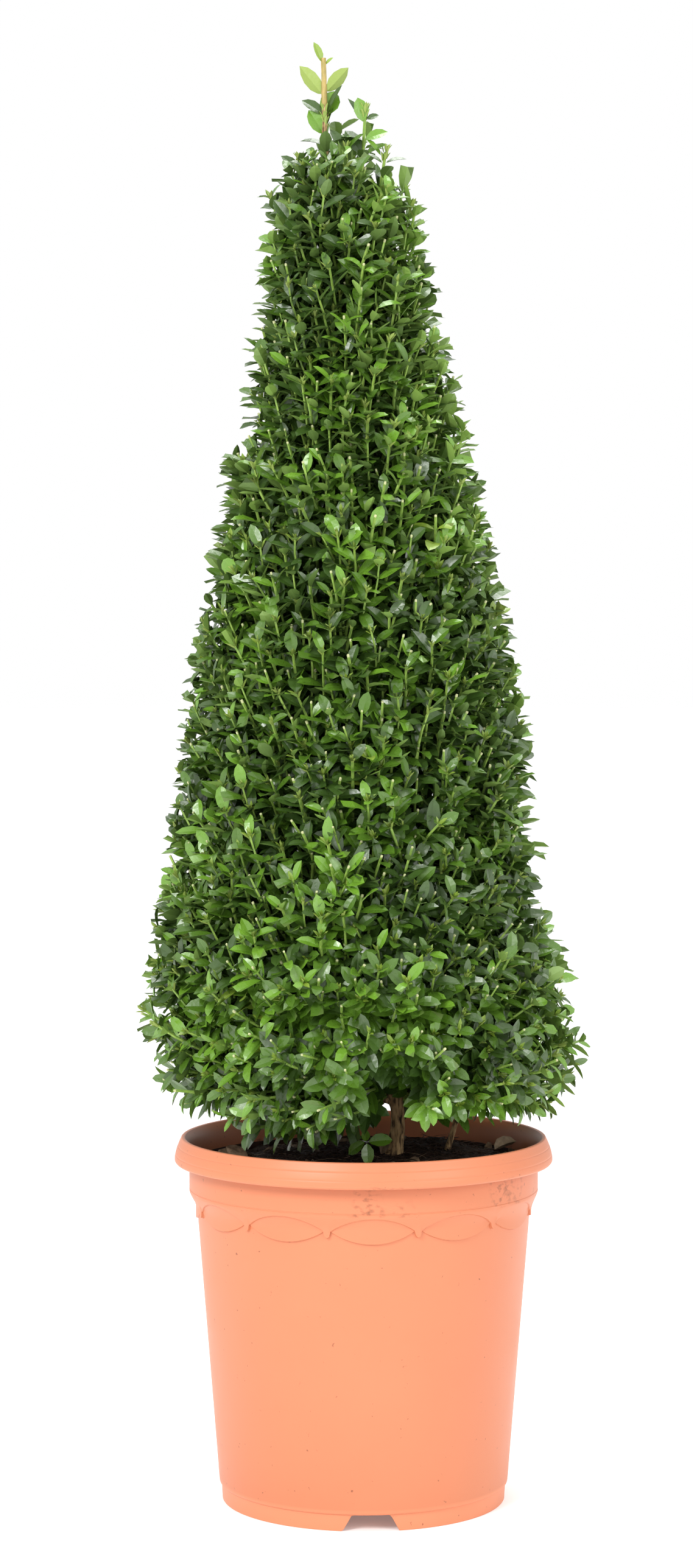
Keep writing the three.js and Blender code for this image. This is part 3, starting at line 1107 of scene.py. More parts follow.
    def grow(self) -> tuple[Shoots, list[tuple[np.ndarray, float, float]]]:
        """Grows the whole crown.

        Returns:
            The shoots, and for the limbs and then the twigs their curves' ends with the radii
            at start and end.
        """
        tips, solid = self.tips()
        heading = self.heading(tips)
        region = self.region_of(tips, solid)
        reach = np.where(region == Region.TUFTS.value, 0.62, 1.0) * self.reach
        reach = reach * self.rng.uniform(0.85, 1.15, len(tips))

        group, sprays = self.grouped(tips, self.spray_gap)
        forks = self.means(tips - heading * reach[:, None], group, sprays)
        way = unit(self.means(heading, group, sprays))
        shallow = np.maximum(0, 34 * MM - self.crown.depth(forks))
        room = np.linalg.norm((forks - self.wood.stem.at_height(forks[:, 2]))[:, :2], axis=1)
        forks -= self.from_axis(forks) * np.minimum(shallow, 0.7 * room)[:, None]

        limb, limbs = self.grouped(forks, self.limb_gap)
        hubs = self.means(forks - way * 30 * MM, limb, limbs)
        feet = self._feet(hubs)
        limb_knees = feet * 0.5 + hubs * 0.5 + self.from_axis(hubs) * 8 * MM - UP * 6 * MM

        place = self.rng.uniform(0.62, 0.98, (sprays, 1))
        starts, leaving = bezier((feet[limb], limb_knees[limb], hubs[limb]), place)
        starts, leaving = starts[:, 0], leaving[:, 0]
        gap = np.linalg.norm(forks - starts, axis=1)[:, None]
        knees = forks - mixed(leaving, way, 0.6) * gap * 0.45

        spot = self.rng.uniform(0.72, 1.0, (len(tips), 1))
        first, leaving = bezier((starts[group], knees[group], forks[group]), spot)
        first = first[:, 0]
        length = np.linalg.norm(tips - first, axis=1)
        bow = mixed(heading, leaving[:, 0], 0.25)
        shoot_knees = tips - bow * (length * 0.5)[:, None]

        spray_tone = self.tones(self.means(tips, group, sprays))
        tone = np.minimum(spray_tone, TONES.index(Tone.BRIGHT))[group]
        stray = self.rng.random(len(tips)) < 0.3
        tone = np.where(stray, self.tones(tips), tone)
        size = self.leaf * self.rng.uniform(0.9, 1.1, sprays)[group]
        size = size * np.where(region == Region.SKIRT.value, 0.98, 1.0)
        shoots = Shoots(
            ends=(first, shoot_knees, tips),
            length=length,
            spray=group,
            cut=self.rng.random(len(tips)) < self.cut_share,
            tone=tone,
            region=region,
            size=size,
        )
        wood = [
            (np.stack([feet, limb_knees, hubs]), 2.9 * MM, 1.7 * MM),
            (np.stack([starts, knees, forks]), 1.5 * MM, 1.15 * MM),
        ]
        return shoots, wood

    def _feet(self, hubs: np.ndarray) -> np.ndarray:
        """Where on the old wood each limb starts: a bough's end low down, or the stem."""
        stem = self.wood.stem
        radius = np.linalg.norm((hubs - stem.at_height(hubs[:, 2]))[:, :2], axis=1)
        low, high = stem.centres[0][2] + 52 * MM, stem.centres[-1][2] - 60 * MM
        feet = stem.at_height(np.clip(hubs[:, 2] - 0.85 * radius, low, high))
        ends = np.array([axis.centres[-1] for axis in self.wood.boughs.values()])
        ends = np.vstack([ends, self.wood.side_stem.centres[-1]])
        for i in np.nonzero(hubs[:, 2] < 0.40)[0]:
            feet[i] = ends[np.linalg.norm(ends - hubs[i], axis=1).argmin()]
        return feet


@dataclass
class Leafage:
    """Sets leaves on the shoots: opposite pairs, each at a right angle to the one below.

    Leaves turn to the sky by the share that light says, and stand out of the clipped skin by
    no more than stand_out.
    """

    growth: Growth
    node_gap: float = 9.4 * MM
    most_nodes: int = 8
    light: float = 0.3
    stand_out: float = 3.5 * MM

    def on(self, shoots: Shoots) -> tuple[Leaves, Leaves]:
        """All leaves of the shoots.

        Args:
            shoots: The shoots.

        Returns:
            The grown leaves, and the small young ones at the growing tips.
        """
        rng = self.growth.rng
        count = len(shoots.length)
        gap = self.node_gap * rng.uniform(0.85, 1.2, count) * shoots.size / self.growth.leaf
        first = np.where(shoots.cut, rng.uniform(2, 13, count) * MM, 0.5 * MM)
        roll = rng.uniform(0, TURN, count)
        grown, young = [], []
        for node in range(self.most_nodes):
            down = first + node * gap
            share = 1 - down / shoots.length
            for half in (0, 1):
                miss = 0.05 + 0.2 * np.clip(node - 4, 0, 3) / 3
                alive = (share > 0.12) & (rng.random(count) > miss)
                angle = roll + node * math.pi / 2 + half * math.pi + rng.normal(0, 0.16, count)
                grown.append(self._at(shoots, share, angle, node, alive))
        fresh = ~shoots.cut
        for ring in range(3):
            for half in (0, 1):
                alive = fresh & (rng.random(count) > 0.18)
                angle = roll + (ring + 1) * math.pi / 2 + half * math.pi
                share = np.full(count, 1.0) - (ring * 1.6 * MM) / shoots.length
                young.append(self._young(shoots, share, angle, ring, alive))
        return self._clip(Leaves.joined(grown)), Leaves.joined(young)

    def _frame(self, shoots: Shoots, share: np.ndarray, angle: np.ndarray) -> tuple[np.ndarray, ...]:
        """Place, stem direction and direction away from the stem at a share of each shoot."""
        points, along = bezier(shoots.ends, share[:, None])
        points, along = points[:, 0], along[:, 0]
        side = across(along)
        other = np.cross(along, side)
        away = side * np.cos(angle)[:, None] + other * np.sin(angle)[:, None]
        return points, along, away

    def _at(
        self, shoots: Shoots, share: np.ndarray, angle: np.ndarray, node: int, alive: np.ndarray
    ) -> Leaves:
        """One leaf of a pair at one node of every living shoot."""
        rng = self.growth.rng
        points, along, away = self._frame(shoots, share, angle)
        count = len(points)
        out = self.growth.from_axis(points)
        open_angle = np.radians(rng.normal(min(42 + 5 * node, 64), 9, count))[:, None]
        heading = unit(along * np.cos(open_angle) + away * np.sin(open_angle))
        low = np.clip((0.46 - points[:, 2]) / 0.12, 0, 1)[:, None]
        heading = unit(heading + out * 0.12 - UP * (0.04 + 0.3 * low))
        face = along * np.sin(open_angle) - away * np.cos(open_angle)
        sky = unit(UP * 0.75 + out * 0.65 + rng.normal(0, 0.32, points.shape))
        face = face * (1 - self.light) + sky * self.light
        face = unit(face - heading * np.sum(face * heading, axis=1, keepdims=True))
        top = 0.8 if node == 0 else 1.0
        length = shoots.size * rng.uniform(0.78, 1.16, count) * top * (1 - 0.03 * node)
        return Leaves(
            base=points + away * 0.7 * MM,
            heading=heading,
            face=face,
            length=length,
            width=length * rng.uniform(0.41, 0.54, count),
            fold=rng.uniform(0.12, 0.42, count),
            curl=rng.normal(0.38, 0.3, count),
            twist=rng.normal(0, 0.22, count),
            tone=self._aged(shoots.tone, node, rng),
            region=shoots.region,
        ).pick(alive)

    @staticmethod
    def _aged(tone: np.ndarray, node: int, rng: np.random.Generator) -> np.ndarray:
        """Tones one step older down the shoot, and one step younger now and then at its top."""
        step = -1 if node > 4 else (1 if node == 0 else 0)
        moved = np.where(rng.random(len(tone)) < 0.35, tone + step, tone)
        return np.clip(moved, 0, np.maximum(tone, TONES.index(Tone.BRIGHT)))

    def _young(
        self, shoots: Shoots, share: np.ndarray, angle: np.ndarray, ring: int, alive: np.ndarray
    ) -> Leaves:
        """The small upright leaves round a growing tip."""
        rng = self.growth.rng
        points, along, away = self._frame(shoots, share, angle)
        count = len(points)
        open_angle = np.radians(rng.normal(10 + 11 * ring, 5, count))[:, None]
        heading = unit(along * np.cos(open_angle) + away * np.sin(open_angle))
        face = unit(along * np.sin(open_angle) - away * np.cos(open_angle))
        length = rng.uniform(4.2, 7.5, count) * MM * (1 + 0.28 * ring)
        return Leaves(
            base=points,
            heading=heading,
            face=face,
            length=length,
            width=length * rng.uniform(0.28, 0.38, count),
            fold=rng.uniform(0.4, 0.7, count),
            curl=rng.normal(0.15, 0.2, count),
            twist=rng.normal(0, 0.2, count),
            tone=np.full(count, TONES.index(Tone.FRESH)),
            region=shoots.region,
        ).pick(alive)

    def _clip(self, leaves: Leaves) -> Leaves:
        """Shears or drops the leaves that stand out past the crown's outline.

        A sheared leaf is marked by a negative length.
        """
        rng = self.growth.rng
        low = (leaves.base[:, 2] < 0.345) * self.growth.droop * 1.2
        inside = self.growth.crown.depth(leaves.base) + low
        tip = self.growth.crown.depth(leaves.tips()) + low
        limit = self.stand_out * rng.uniform(0.4, 1.6, len(tip))
        over = tip < -limit
        share = np.clip((inside + limit) / np.maximum(inside - tip, 1e-6), 0, 1)
        keep = ~over | (share > 0.42)
        sheared = over & keep & (rng.random(len(tip)) < 0.7)
        length = np.where(sheared, -leaves.length * share, leaves.length)
        shrunk = over & keep & ~sheared
        length = np.where(shrunk, leaves.length * np.maximum(share, 0.8), length)
        leaves.length = length
        return leaves.pick(keep & (inside > -6 * MM))


@dataclass
class Plant:
    """Everything that grows, joined kind by kind into pieces.

    Leaves are made plainer from the two depths of deep_enough. Below the first, a share of them take
    the next darker tone: painted shade deep inside the crown.
    """

    growth: Growth
    leafage: Leafage
    nodes_of: dict[Region, list[str]]
    green: bpy.types.Material
    brown: bpy.types.Material
    pith: bpy.types.Material
    deep_enough: tuple[float, float] = (17 * MM, 34 * MM)
    painted_shade_share: float = 0.75

    def build(self) -> None:
        """Grows the crown and models it."""
        shoots, wood = self.growth.grow()
        LOG.info("%d shoots on %d sprays", len(shoots.length), shoots.spray.max() + 1)
        self._branches(wood)
        self._shoots(shoots)
        grown, young = self.leafage.on(shoots)
        grown = Leaves.joined([grown, top_leaves(), stem_sprig()])
        LOG.info("%d leaves, %d young ones", len(grown.length), len(young.length))
        self._leaves(grown, young)

    def _branches(self, wood: list[tuple[np.ndarray, float, float]]) -> None:
        """The limbs and twigs inside the crown."""
        for name, sides, rings, (ends, thick, thin) in (
            ("inner_limbs", 8, 12, wood[0]),
            ("inner_twigs", 5, 8, wood[1]),
        ):
            count = ends.shape[1]
            share = np.tile(np.linspace(0, 1, rings), (count, 1))
            paths, _ = bezier(tuple(ends), share)
            paths = paths + self.growth.rng.normal(0, 0.6 * MM, paths.shape)
            bundle = Bundle(name, [self.brown])
            pattern = bar_pattern(sides, rings)
            bundle.add(pattern, bent(pattern, paths, thick + (thin - thick) * share))
            finish_piece(bundle.build())

    def _shoots(self, shoots: Shoots) -> None:
        """The green shoots, with pale cut ends where the shears went through."""
        rings = 7
        rng = self.growth.rng
        count = len(shoots.length)
        share = np.tile(np.linspace(0, 1, rings), (count, 1))
        paths, _ = bezier(shoots.ends, share)
        thick = rng.uniform(1.05, 1.5, (count, 1)) * MM
        radii = thick * (1.1 - 0.35 * share)
        body, stub = bar_pattern(4, rings), bar_pattern(5, 3)
        bundle = Bundle("green_shoots", [self.green])
        bundle.add(body, bent(body, paths, radii))
        for shoot in TopShoot:
            path, widths = shoot.value.stem(rings)
            bundle.add(body, bent(body, path[None], widths[None]))
        finish_piece(bundle.build(smooth=False))
        cut = shoots.cut
        ahead = unit(paths[cut, -1] - paths[cut, -2])[:, None, :]
        steps = (np.array([-0.4, 0.4, 1.5]) * MM)[None, :, None]
        line = paths[cut, -1][:, None, :] + ahead * steps * rng.uniform(0.5, 1.3, (cut.sum(), 1, 1))
        widths = radii[cut, -1:] * np.array([1.02, 1.1, 0.95])
        bundle = Bundle("cut_ends", [self.pith])
        bundle.add(stub, bent(stub, line, widths))
        finish_piece(bundle.build())

    def _leaves(self, grown: Leaves, young: Leaves) -> None:
        """Joins the leaves by part of the crown and by tone."""
        patterns = {kind: kind.value.pattern() for kind in Leaf}
        thickness = Leaf.FULL.value.thickness
        finishes = [tone.value.make() for tone in TONES]
        depth = self.growth.crown.depth(grown.base)
        near, far = self.deep_enough
        # Painted shade: leaves deep inside the crown are given the next darker tone.
        painted_shade = (depth > near) & (self.growth.rng.random(len(depth)) < self.painted_shade_share)
        grown.tone = np.where(painted_shade, np.maximum(grown.tone - 1, 0), grown.tone)
        sheared = grown.length < 0
        grown.length = np.abs(grown.length)
        kinds = {
            Leaf.SHEARED: sheared,
            Leaf.FULL: ~sheared & (depth < near),
            Leaf.MEDIUM: ~sheared & (depth >= near) & (depth < far),
            Leaf.PLAIN: ~sheared & (depth >= far),
        }
        for region in REGIONS:
            for number, tone in enumerate(TONES):
                bundle = Bundle(f"leaves_{region.name.lower()}_{tone.value.name}", finishes[number])
                mine = (grown.region == region.value) & (grown.tone == number)
                for kind, mask in kinds.items():
                    chosen = grown.pick(mine & mask)
                    bundle.add(patterns[kind], chosen.placed(patterns[kind], thickness))
                if tone is Tone.FRESH:
                    buds = young.pick(young.region == region.value)
                    bundle.add(patterns[Leaf.PLAIN], buds.placed(patterns[Leaf.PLAIN], thickness))
                finish_piece(bundle.build(), self.nodes_of[region])


@dataclass(frozen=True)
class NamedLeaf:
    """One leaf whose place is chosen.

    Attributes:
        height: Millimetres above the top of its stem, so mostly less than 0.
        azimuth: Where it points, seen from above.
        opening: Degrees between the leaf and its stem.
        length: In millimetres.
        tone: Its tone.
        curl: Radians that it bends back along its length.
        width: Its width as a share of its length.
        front: How far its upper side is turned to the front. Below 0 its underside is.
    """

    height: float
    azimuth: float
    opening: float
    length: float
    tone: Tone
    curl: float = 0.3
    width: float = 0.5
    front: float = 0.0


def named_leaves(
    leaves: Sequence[NamedLeaf], foot: np.ndarray, lean: np.ndarray, region: Region
) -> Leaves:
    """Named leaves on one straight stem.

    Args:
        leaves: The leaves.
        foot: The stem's foot, from which heights count.
        lean: The stem's unit direction.
        region: The part of the crown that they join.

    Returns:
        The leaves as arrays.
    """
    away = outward(np.array([leaf.azimuth for leaf in leaves]))
    angle = np.radians([leaf.opening for leaf in leaves])[:, None]
    length = np.array([leaf.length for leaf in leaves]) * MM
    heading = unit(lean * np.cos(angle) + away * np.sin(angle))
    front = np.array([leaf.front for leaf in leaves])[:, None]
    face = (lean * np.sin(angle) - away * np.cos(angle)) * (1 - np.abs(front)) + FRONT * front
    face = unit(face - heading * np.sum(face * heading, axis=1, keepdims=True))
    heights = np.array([leaf.height for leaf in leaves])[:, None] * MM
    count = len(leaves)
    return Leaves(
        base=foot + lean * heights + away * 1.6 * MM,
        heading=heading,
        face=face,
        length=length,
        width=length * np.array([leaf.width for leaf in leaves]),
        fold=np.full(count, 0.3),
        curl=np.array([leaf.curl for leaf in leaves]),
        twist=np.zeros(count),
        tone=np.array([TONES.index(leaf.tone) for leaf in leaves]),
        region=np.full(count, region.value),
    )


@dataclass(frozen=True)
class Peak:
    """A shoot at the crown's top with named leaves.

    Attributes:
        foot: The stem's foot.
        top: The stem's top, from which the leaves' heights count.
        leaves: Its leaves.
        clusters: Height and azimuth of each cluster of young leaves.
        radius: The stem's radius.
    """

    foot: tuple[float, float, float]
    top: tuple[float, float, float]
    leaves: tuple[NamedLeaf, ...]
    clusters: tuple[tuple[float, float], ...] = ()
    radius: float = 1.3 * MM

    def lean(self) -> np.ndarray:
        """The stem's unit direction."""
        return unit(np.array(self.top) - np.array(self.foot))

    def foliage(self) -> Leaves:
        """All its leaves."""
        young = [
            NamedLeaf(
                height - 2 + ring, azimuth + 97 * ring, 6 + 5 * ring, 9.5 - ring, Tone.FRESH, 0.2, 0.32
            )
            for height, azimuth in self.clusters
            for ring in range(5)
        ]
        top = np.array(self.top) * MM
        return named_leaves([*self.leaves, *young], top, self.lean(), Region.TUFTS)

    def stem(self, rings: int) -> tuple[np.ndarray, np.ndarray]:
        """Centre line and radii of the stem at a number of rings."""
        share = np.linspace(0, 1, rings)
        foot, top = np.array(self.foot) * MM, np.array(self.top) * MM
        path = foot + (top - foot) * share[:, None]
        return path, self.radius * (1.2 - 0.35 * share)


def pair(height: float, azimuth: float, opening: float, length: float) -> tuple[NamedLeaf, ...]:
    """Two opposite old leaves at one height of a shoot."""
    turns = ((azimuth + half) % 360 for half in (0, 180))
    return tuple(NamedLeaf(height, turn, opening, length, Tone.DEEP, 0.4) for turn in turns)


class TopShoot(Enum):
    """The shoots that stand out above the clipped crown."""

    LEADER = Peak(
        (-29, 0, 1040),
        (-31.4, 0, 1134),
        (
            NamedLeaf(-1, 285, 20, 16.5, Tone.FRESH, 0.1, 0.46, 0.6),
            NamedLeaf(-3, 80, 42, 8, Tone.FRESH, 0.3, 0.5, 0.5),
            NamedLeaf(-26, 268, 40, 29, Tone.FRESH, -0.2, 0.44, -0.7),
            NamedLeaf(-24, 92, 45, 26, Tone.FRESH, -0.2, 0.46, -0.7),
            NamedLeaf(-42, 60, 28, 26, Tone.DEEP, 0.2, 0.34, 0.5),
            NamedLeaf(-42, 110, 18, 20, Tone.BRIGHT, 0.1, 0.8, 0.85),
            NamedLeaf(-42, 268, 48, 21, Tone.DEEP, 0.4, 0.5, 0.6),
            NamedLeaf(-57, 280, 30, 22, Tone.BRIGHT, 0.2, 0.6, 0.8),
            NamedLeaf(-50, 80, 14, 15, Tone.DEEP, 0.3, 0.5, 0.4),
            NamedLeaf(-66, 262, 62, 20, Tone.DEEP, 0.6, 0.5, 0.3),
            NamedLeaf(-66, 75, 60, 22, Tone.MIDDLE, 0.5, 0.5, 0.3),
            NamedLeaf(-72, 0, 30, 20, Tone.DEEP, 0.3),
            NamedLeaf(-72, 180, 55, 20, Tone.DEEP, 0.4),
            NamedLeaf(-64, 20, 16, 17, Tone.MIDDLE, 0.2, 0.5, 0.5),
            NamedLeaf(-82, 335, 30, 21, Tone.DEEP, 0.3, 0.5, 0.4),
            NamedLeaf(-82, 40, 34, 21, Tone.DEEP, 0.3, 0.5, 0.3),
            NamedLeaf(-84, 250, 50, 19, Tone.DEEP, 0.3, 0.5, 0.3),
            NamedLeaf(-84, 110, 50, 19, Tone.DEEP, 0.3, 0.5, 0.3),
        ),
        ((-50, 20), (-40, 300), (-46, 350)),
        1.75 * MM,
    )
    RIGHT = Peak(
        (-2, -2, 1035),
        (1, -4, 1092),
        (
            NamedLeaf(-6, 262, 30, 22, Tone.DEEP, 0.2, 0.36, 0.4),
            NamedLeaf(-6, 300, 16, 19, Tone.BRIGHT, 0.2, 0.62, 0.8),
            NamedLeaf(-4, 90, 68, 10, Tone.DEEP, 0.2, 0.6, 0.6),
            NamedLeaf(-20, 92, 62, 19, Tone.BRIGHT, 0.4, 0.52, 0.6),
            NamedLeaf(-19, 75, 128, 18, Tone.BRIGHT, 0.4, 0.34, 0.4),
            NamedLeaf(-20, 262, 70, 19, Tone.DEEP, 0.5, 0.5, 0.3),
            NamedLeaf(-30, 262, 36, 22, Tone.DEEP, 0.2, 0.56, 0.8),
            NamedLeaf(-32, 80, 55, 20, Tone.MIDDLE, 0.4, 0.5, 0.4),
            *pair(-36, 0, 60, 19),
        ),
        ((2, 10), (-3, 120)),
    )
    MIDDLE = Peak(
        (-12, -4, 1020),
        (-14, -6, 1066),
        (
            NamedLeaf(-2, 250, 30, 20, Tone.DEEP, 0.2, 0.5, 0.5),
            NamedLeaf(-2, 70, 42, 18, Tone.MIDDLE, 0.3, 0.5, 0.4),
            *pair(-14, 330, 60, 20),
        ),
        ((-2, 40),),
    )
    LOW_RIGHT = Peak(
        (10, -3, 1012),
        (17, -4, 1062),
        (
            NamedLeaf(-8, 95, 64, 17, Tone.DEEP, 0.5, 0.45, 0.3),
            NamedLeaf(-8, 270, 56, 17, Tone.MIDDLE, 0.4, 0.5, 0.3),
            *pair(-20, 20, 55, 19),
        ),
        ((0, 60), (-6, 190)),
    )
    LOW_LEFT = Peak(
        (-42, 0, 1010),
        (-50, -3, 1056),
        (
            NamedLeaf(-8, 85, 50, 16, Tone.MIDDLE, 0.4, 0.45, 0.3),
            NamedLeaf(-8, 268, 40, 19, Tone.DEEP, 0.3, 0.5, 0.5),
            *pair(-20, 350, 55, 19),
        ),
        ((0, 240), (-5, 30)),
    )


def top_leaves() -> Leaves:
    """The leaves of the shoots above the crown."""
    return Leaves.joined([shoot.value.foliage() for shoot in TopShoot])


def stem_sprig() -> Leaves:
    """The little sprig that stands on the soil before the stem."""
    low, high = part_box("sprig_by_stem")
    foot = np.array([(low.x + high.x) / 2, (low.y + high.y) / 2, high.z - 9 * MM])
    return named_leaves(
        (
            NamedLeaf(0, 92, 82, 19, Tone.BRIGHT, 0.3, 0.6, 0.6),
            NamedLeaf(0, 262, 124, 17, Tone.BRIGHT, 0.3, 0.6, 0.6),
            NamedLeaf(-1, 10, 165, 17, Tone.BRIGHT, 0.2, 0.6, 0.7),
            NamedLeaf(1, 345, 25, 10, Tone.BRIGHT, 0.4, 0.7, 0.7),
            NamedLeaf(-1, 180, 85, 15, Tone.MIDDLE, 0.4),
        ),
        foot,
        UP,
        Region.SKIRT,
    )


# ------------------------------------------------------------------ the pot


class Zone(Enum):
    """Parts of the pot's profile. Those of the ornament follow its scalloped edges."""

    FIXED = "fixed"
    WALL = "wall"
    LENS = "lens"
    BAND = "band"


@dataclass(frozen=True)
class Row:
    """One circle of the pot: radius and height, and its share of a zone of the ornament."""

    radius: float
    height: float
    zone: Zone = Zone.FIXED
    share: float = 0.0


def spun(profile: Sequence[tuple[float, float]], steps: int) -> bmesh.types.BMesh:
    """A profile of radius and height turned about Z.

    Args:
        profile: Points from one end to the other, in metres.
        steps: Steps round the full turn.

    Returns:
        The turned shape, with doubles merged and normals outwards.
    """
    shape = bmesh.new()
    verts = [shape.verts.new((0.0, -radius, height)) for radius, height in profile]
    edges = [shape.edges.new(pair) for pair in zip(verts, verts[1:])]
    bmesh.ops.spin(
        shape, geom=[*verts, *edges], cent=(0, 0, 0), axis=(0, 0, 1), angle=TURN,
        steps=steps, use_merge=True, use_duplicate=False,
    )
    bmesh.ops.remove_doubles(shape, verts=shape.verts, dist=1e-6)
    bmesh.ops.recalc_face_normals(shape, faces=shape.faces)
    numbered(shape.verts, lambda vert: vert.co)
    numbered(shape.faces, lambda face: face.calc_center_median())
    return shape


def numbered(items: Sequence, place: Callable[..., Vector]) -> None:
    """Numbers vertices or faces by their places, so that every run numbers them alike."""
    ranked = sorted(items, key=lambda item: tuple(round(c, 6) for c in place(item)))
    for number, item in enumerate(ranked):
        item.index = number
    items.sort()


def as_object(name: str, shape: bmesh.types.BMesh, finishes: Sequence[bpy.types.Material],
              sharp: float = 40.0) -> bpy.types.Object:
    """Makes an object of a finished shape.

    Args:
        name: The piece's name.
        shape: The shape, which is freed.
        finishes: Its materials.
        sharp: Edges that turn by more than this many degrees stay sharp.

    Returns:
        The object, smoothly shaded.
    """
    mesh = bpy.data.meshes.new(name)
    shape.to_mesh(mesh)
    shape.free()
    for material in finishes:
        mesh.materials.append(material)
    mesh.shade_smooth()
    mesh.set_sharp_from_angle(angle=math.radians(sharp))
    made = bpy.data.objects.new(name, mesh)
    bpy.context.scene.collection.objects.link(made)
    return made


@dataclass
class Pot:
    """The round moulded pot: foot, wall, scalloped ornament, neck and rolled rim.

    The ornament is a ring of lenses with pendants between them. Its cusps are where a lens's
    edges meet, and a lens lies one step below the band. The band's chamfer is given by height
    and radius at its foot and top. The last lining_rows of the profile belong to the inside.
    """

    outside: bpy.types.Material
    inside: bpy.types.Material
    steps: int = 480
    lenses: int = 12
    lens_azimuth: float = 2.8
    lens_half: float = 13.85
    cusp: float = 234 * MM
    lens_rise: float = 10.4 * MM
    lens_drop: float = 9.6 * MM
    stub: float = 5.0 * MM
    step: float = 1.1 * MM
    edge: float = 0.3 * MM
    ornament_foot: float = 206 * MM
    ornament_top: float = 247.5 * MM
    wall: float = 2.2 * MM
    wall_foot: float = 113.4 * MM
    wall_taper: float = 0.080
    band_foot: tuple[float, float] = (236 * MM, 134.2 * MM)
    band_top: tuple[float, float] = (245.5 * MM, 138.2 * MM)
    hem: float = 269.2 * MM
    rim_lean: float = 4.9 * MM
    floor: float = 15.5 * MM
    crowding: float = 0.55
    lining_rows: int = 13

    def wall_radius(self, height: np.ndarray | float) -> np.ndarray | float:
        """Outer radius of the plain wall at a height."""
        return self.wall_foot + self.wall_taper * height

    def band_radius(self, height: np.ndarray | float) -> np.ndarray | float:
        """Outer radius of the raised band, its chamfer and the neck at a height."""
        heights, radii = zip(self.band_foot, self.band_top)
        return np.interp(height, heights, radii)

    def edges_at(self, azimuth: np.ndarray) -> tuple[np.ndarray, np.ndarray]:
        """Heights of the lenses' lower and upper edges at azimuths in degrees."""
        period = 360 / self.lenses
        from_lens = (azimuth - self.lens_azimuth + period / 2) % period - period / 2
        share = np.abs(from_lens) / self.lens_half
        arch = np.clip(1 - share**2, 0, 1) ** 0.92
        past = np.clip((period / 2 - np.abs(from_lens)) / (period / 2 - self.lens_half), 0, 1)
        hang = self.stub * np.sqrt(np.clip(1 - past**2, 0, 1)) * (share > 1)
        low = self.cusp - self.lens_drop * arch - hang
        return low, np.maximum(self.cusp + self.lens_rise * arch - hang, low + 0.1 * MM)

    def rows(self) -> list[Row]:
        """The profile, from the middle of the underside round to the middle of the floor."""
        lip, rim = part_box("pot")[1].z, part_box("pot")[1].x
        rows = [Row(r * MM, 13 * MM) for r in (0, 40, 80, 108, 112.4)]
        rows += [Row(113.6 * MM, 13.4 * MM), Row(114.3 * MM, 14.2 * MM)]
        walls = (15.4, 16.5, 18, 40, 80, 120, 160, 190)
        rows += [Row(self.wall_radius(z * MM), z * MM) for z in walls]
        for zone, count in ((Zone.WALL, 6), (Zone.LENS, 5), (Zone.BAND, 6)):
            for i in range(count):
                share = i / (count - 1)
                rows.append(Row(*self._nominal(zone, share), zone, share))
        neck = ((0.3, 247.9), (0.3, 248.4), (0, 248.8), (0, 256), (0, 264), (0.1, 268.2))
        rows += [Row(self.band_top[1] - sunk * MM, z * MM) for sunk, z in neck]
        rows += [Row(r * MM, z * MM) for r, z in ((139.2, 268.9), (145, 268.7), (147.2, 268.5))]
        rows += self._rim(rim, lip)
        lining = (268, 262, 254, 246, 240, 234, 200, 120, 40)
        rows += [Row(self._inner(z * MM), z * MM) for z in lining]
        rows.append(Row(self._inner(self.floor) - 1 * MM, self.floor))
        rows += [Row(r * MM, self.floor) for r in (90, 45, 0)]
        return rows

    def _nominal(self, zone: Zone, share: float) -> tuple[float, float]:
        """Where a row of the ornament lies before its edges are scalloped."""
        spans = {
            Zone.WALL: (self.ornament_foot, 228 * MM, 131.5 * MM),
            Zone.LENS: (228.5 * MM, 239 * MM, 133.1 * MM),
            Zone.BAND: (239.5 * MM, self.ornament_top, 134.5 * MM),
        }
        low, high, radius = spans[zone]
        return radius, low + (high - low) * share

    def _inner(self, height: float) -> float:
        """Radius of the inner wall at a height."""
        banded = height > self.band_foot[0]
        outer = self.band_radius(height) if banded else self.wall_radius(height)
        return float(outer) - self.wall

    def _rim(self, radius: float, lip: float) -> list[Row]:
        """The rolled rim: its hem, its bulging face with two faint lines, and its lip."""
        foot = ((1.0, -0.5), (0.15, 0.6))
        rows = [Row(radius - inset * MM, self.hem + up * MM) for inset, up in foot]
        steps = 36
        low, crest = self.hem + 1.6 * MM, lip - 1.6 * MM
        for i in range(steps + 1):
            share = i / steps
            height = low + (crest - low) * share
            lines = ((height - line * MM) / (0.35 * MM) for line in (275, 281.6))
            groove = sum(math.exp(-(off**2)) for off in lines)
            rows.append(Row(radius - self.rim_lean * share**1.7 - 0.3 * MM * groove, height))
        edge = radius - self.rim_lean
        for angle in (20, 50, 80, 110, 140, 170):
            a = math.radians(angle)
            rows.append(Row(edge - 1.9 * MM + 1.9 * MM * math.cos(a), crest + 1.6 * MM * math.sin(a)))
        rows += [Row(edge - 5.2 * MM, lip - 2.6 * MM), Row(edge - 7.2 * MM, lip - 8 * MM)]
        rows.append(Row(self._inner(270 * MM) + 0.4 * MM, lip - 15 * MM))
        return rows

    def build(self) -> None:
        """Models and finishes the pot and its foot."""
        rows = self.rows()
        shape = spun([(row.radius, row.height) for row in rows], self.steps)
        row = self._emboss(shape, rows)
        lining = len(rows) - self.lining_rows
        for face in shape.faces:
            face.material_index = int(min(row[vert.index] for vert in face.verts) >= lining)
        finish_piece(as_object("pot_body", shape, [self.outside, self.inside], 28), ["pot"])
        finish_piece(self._foot(), ["pot"])

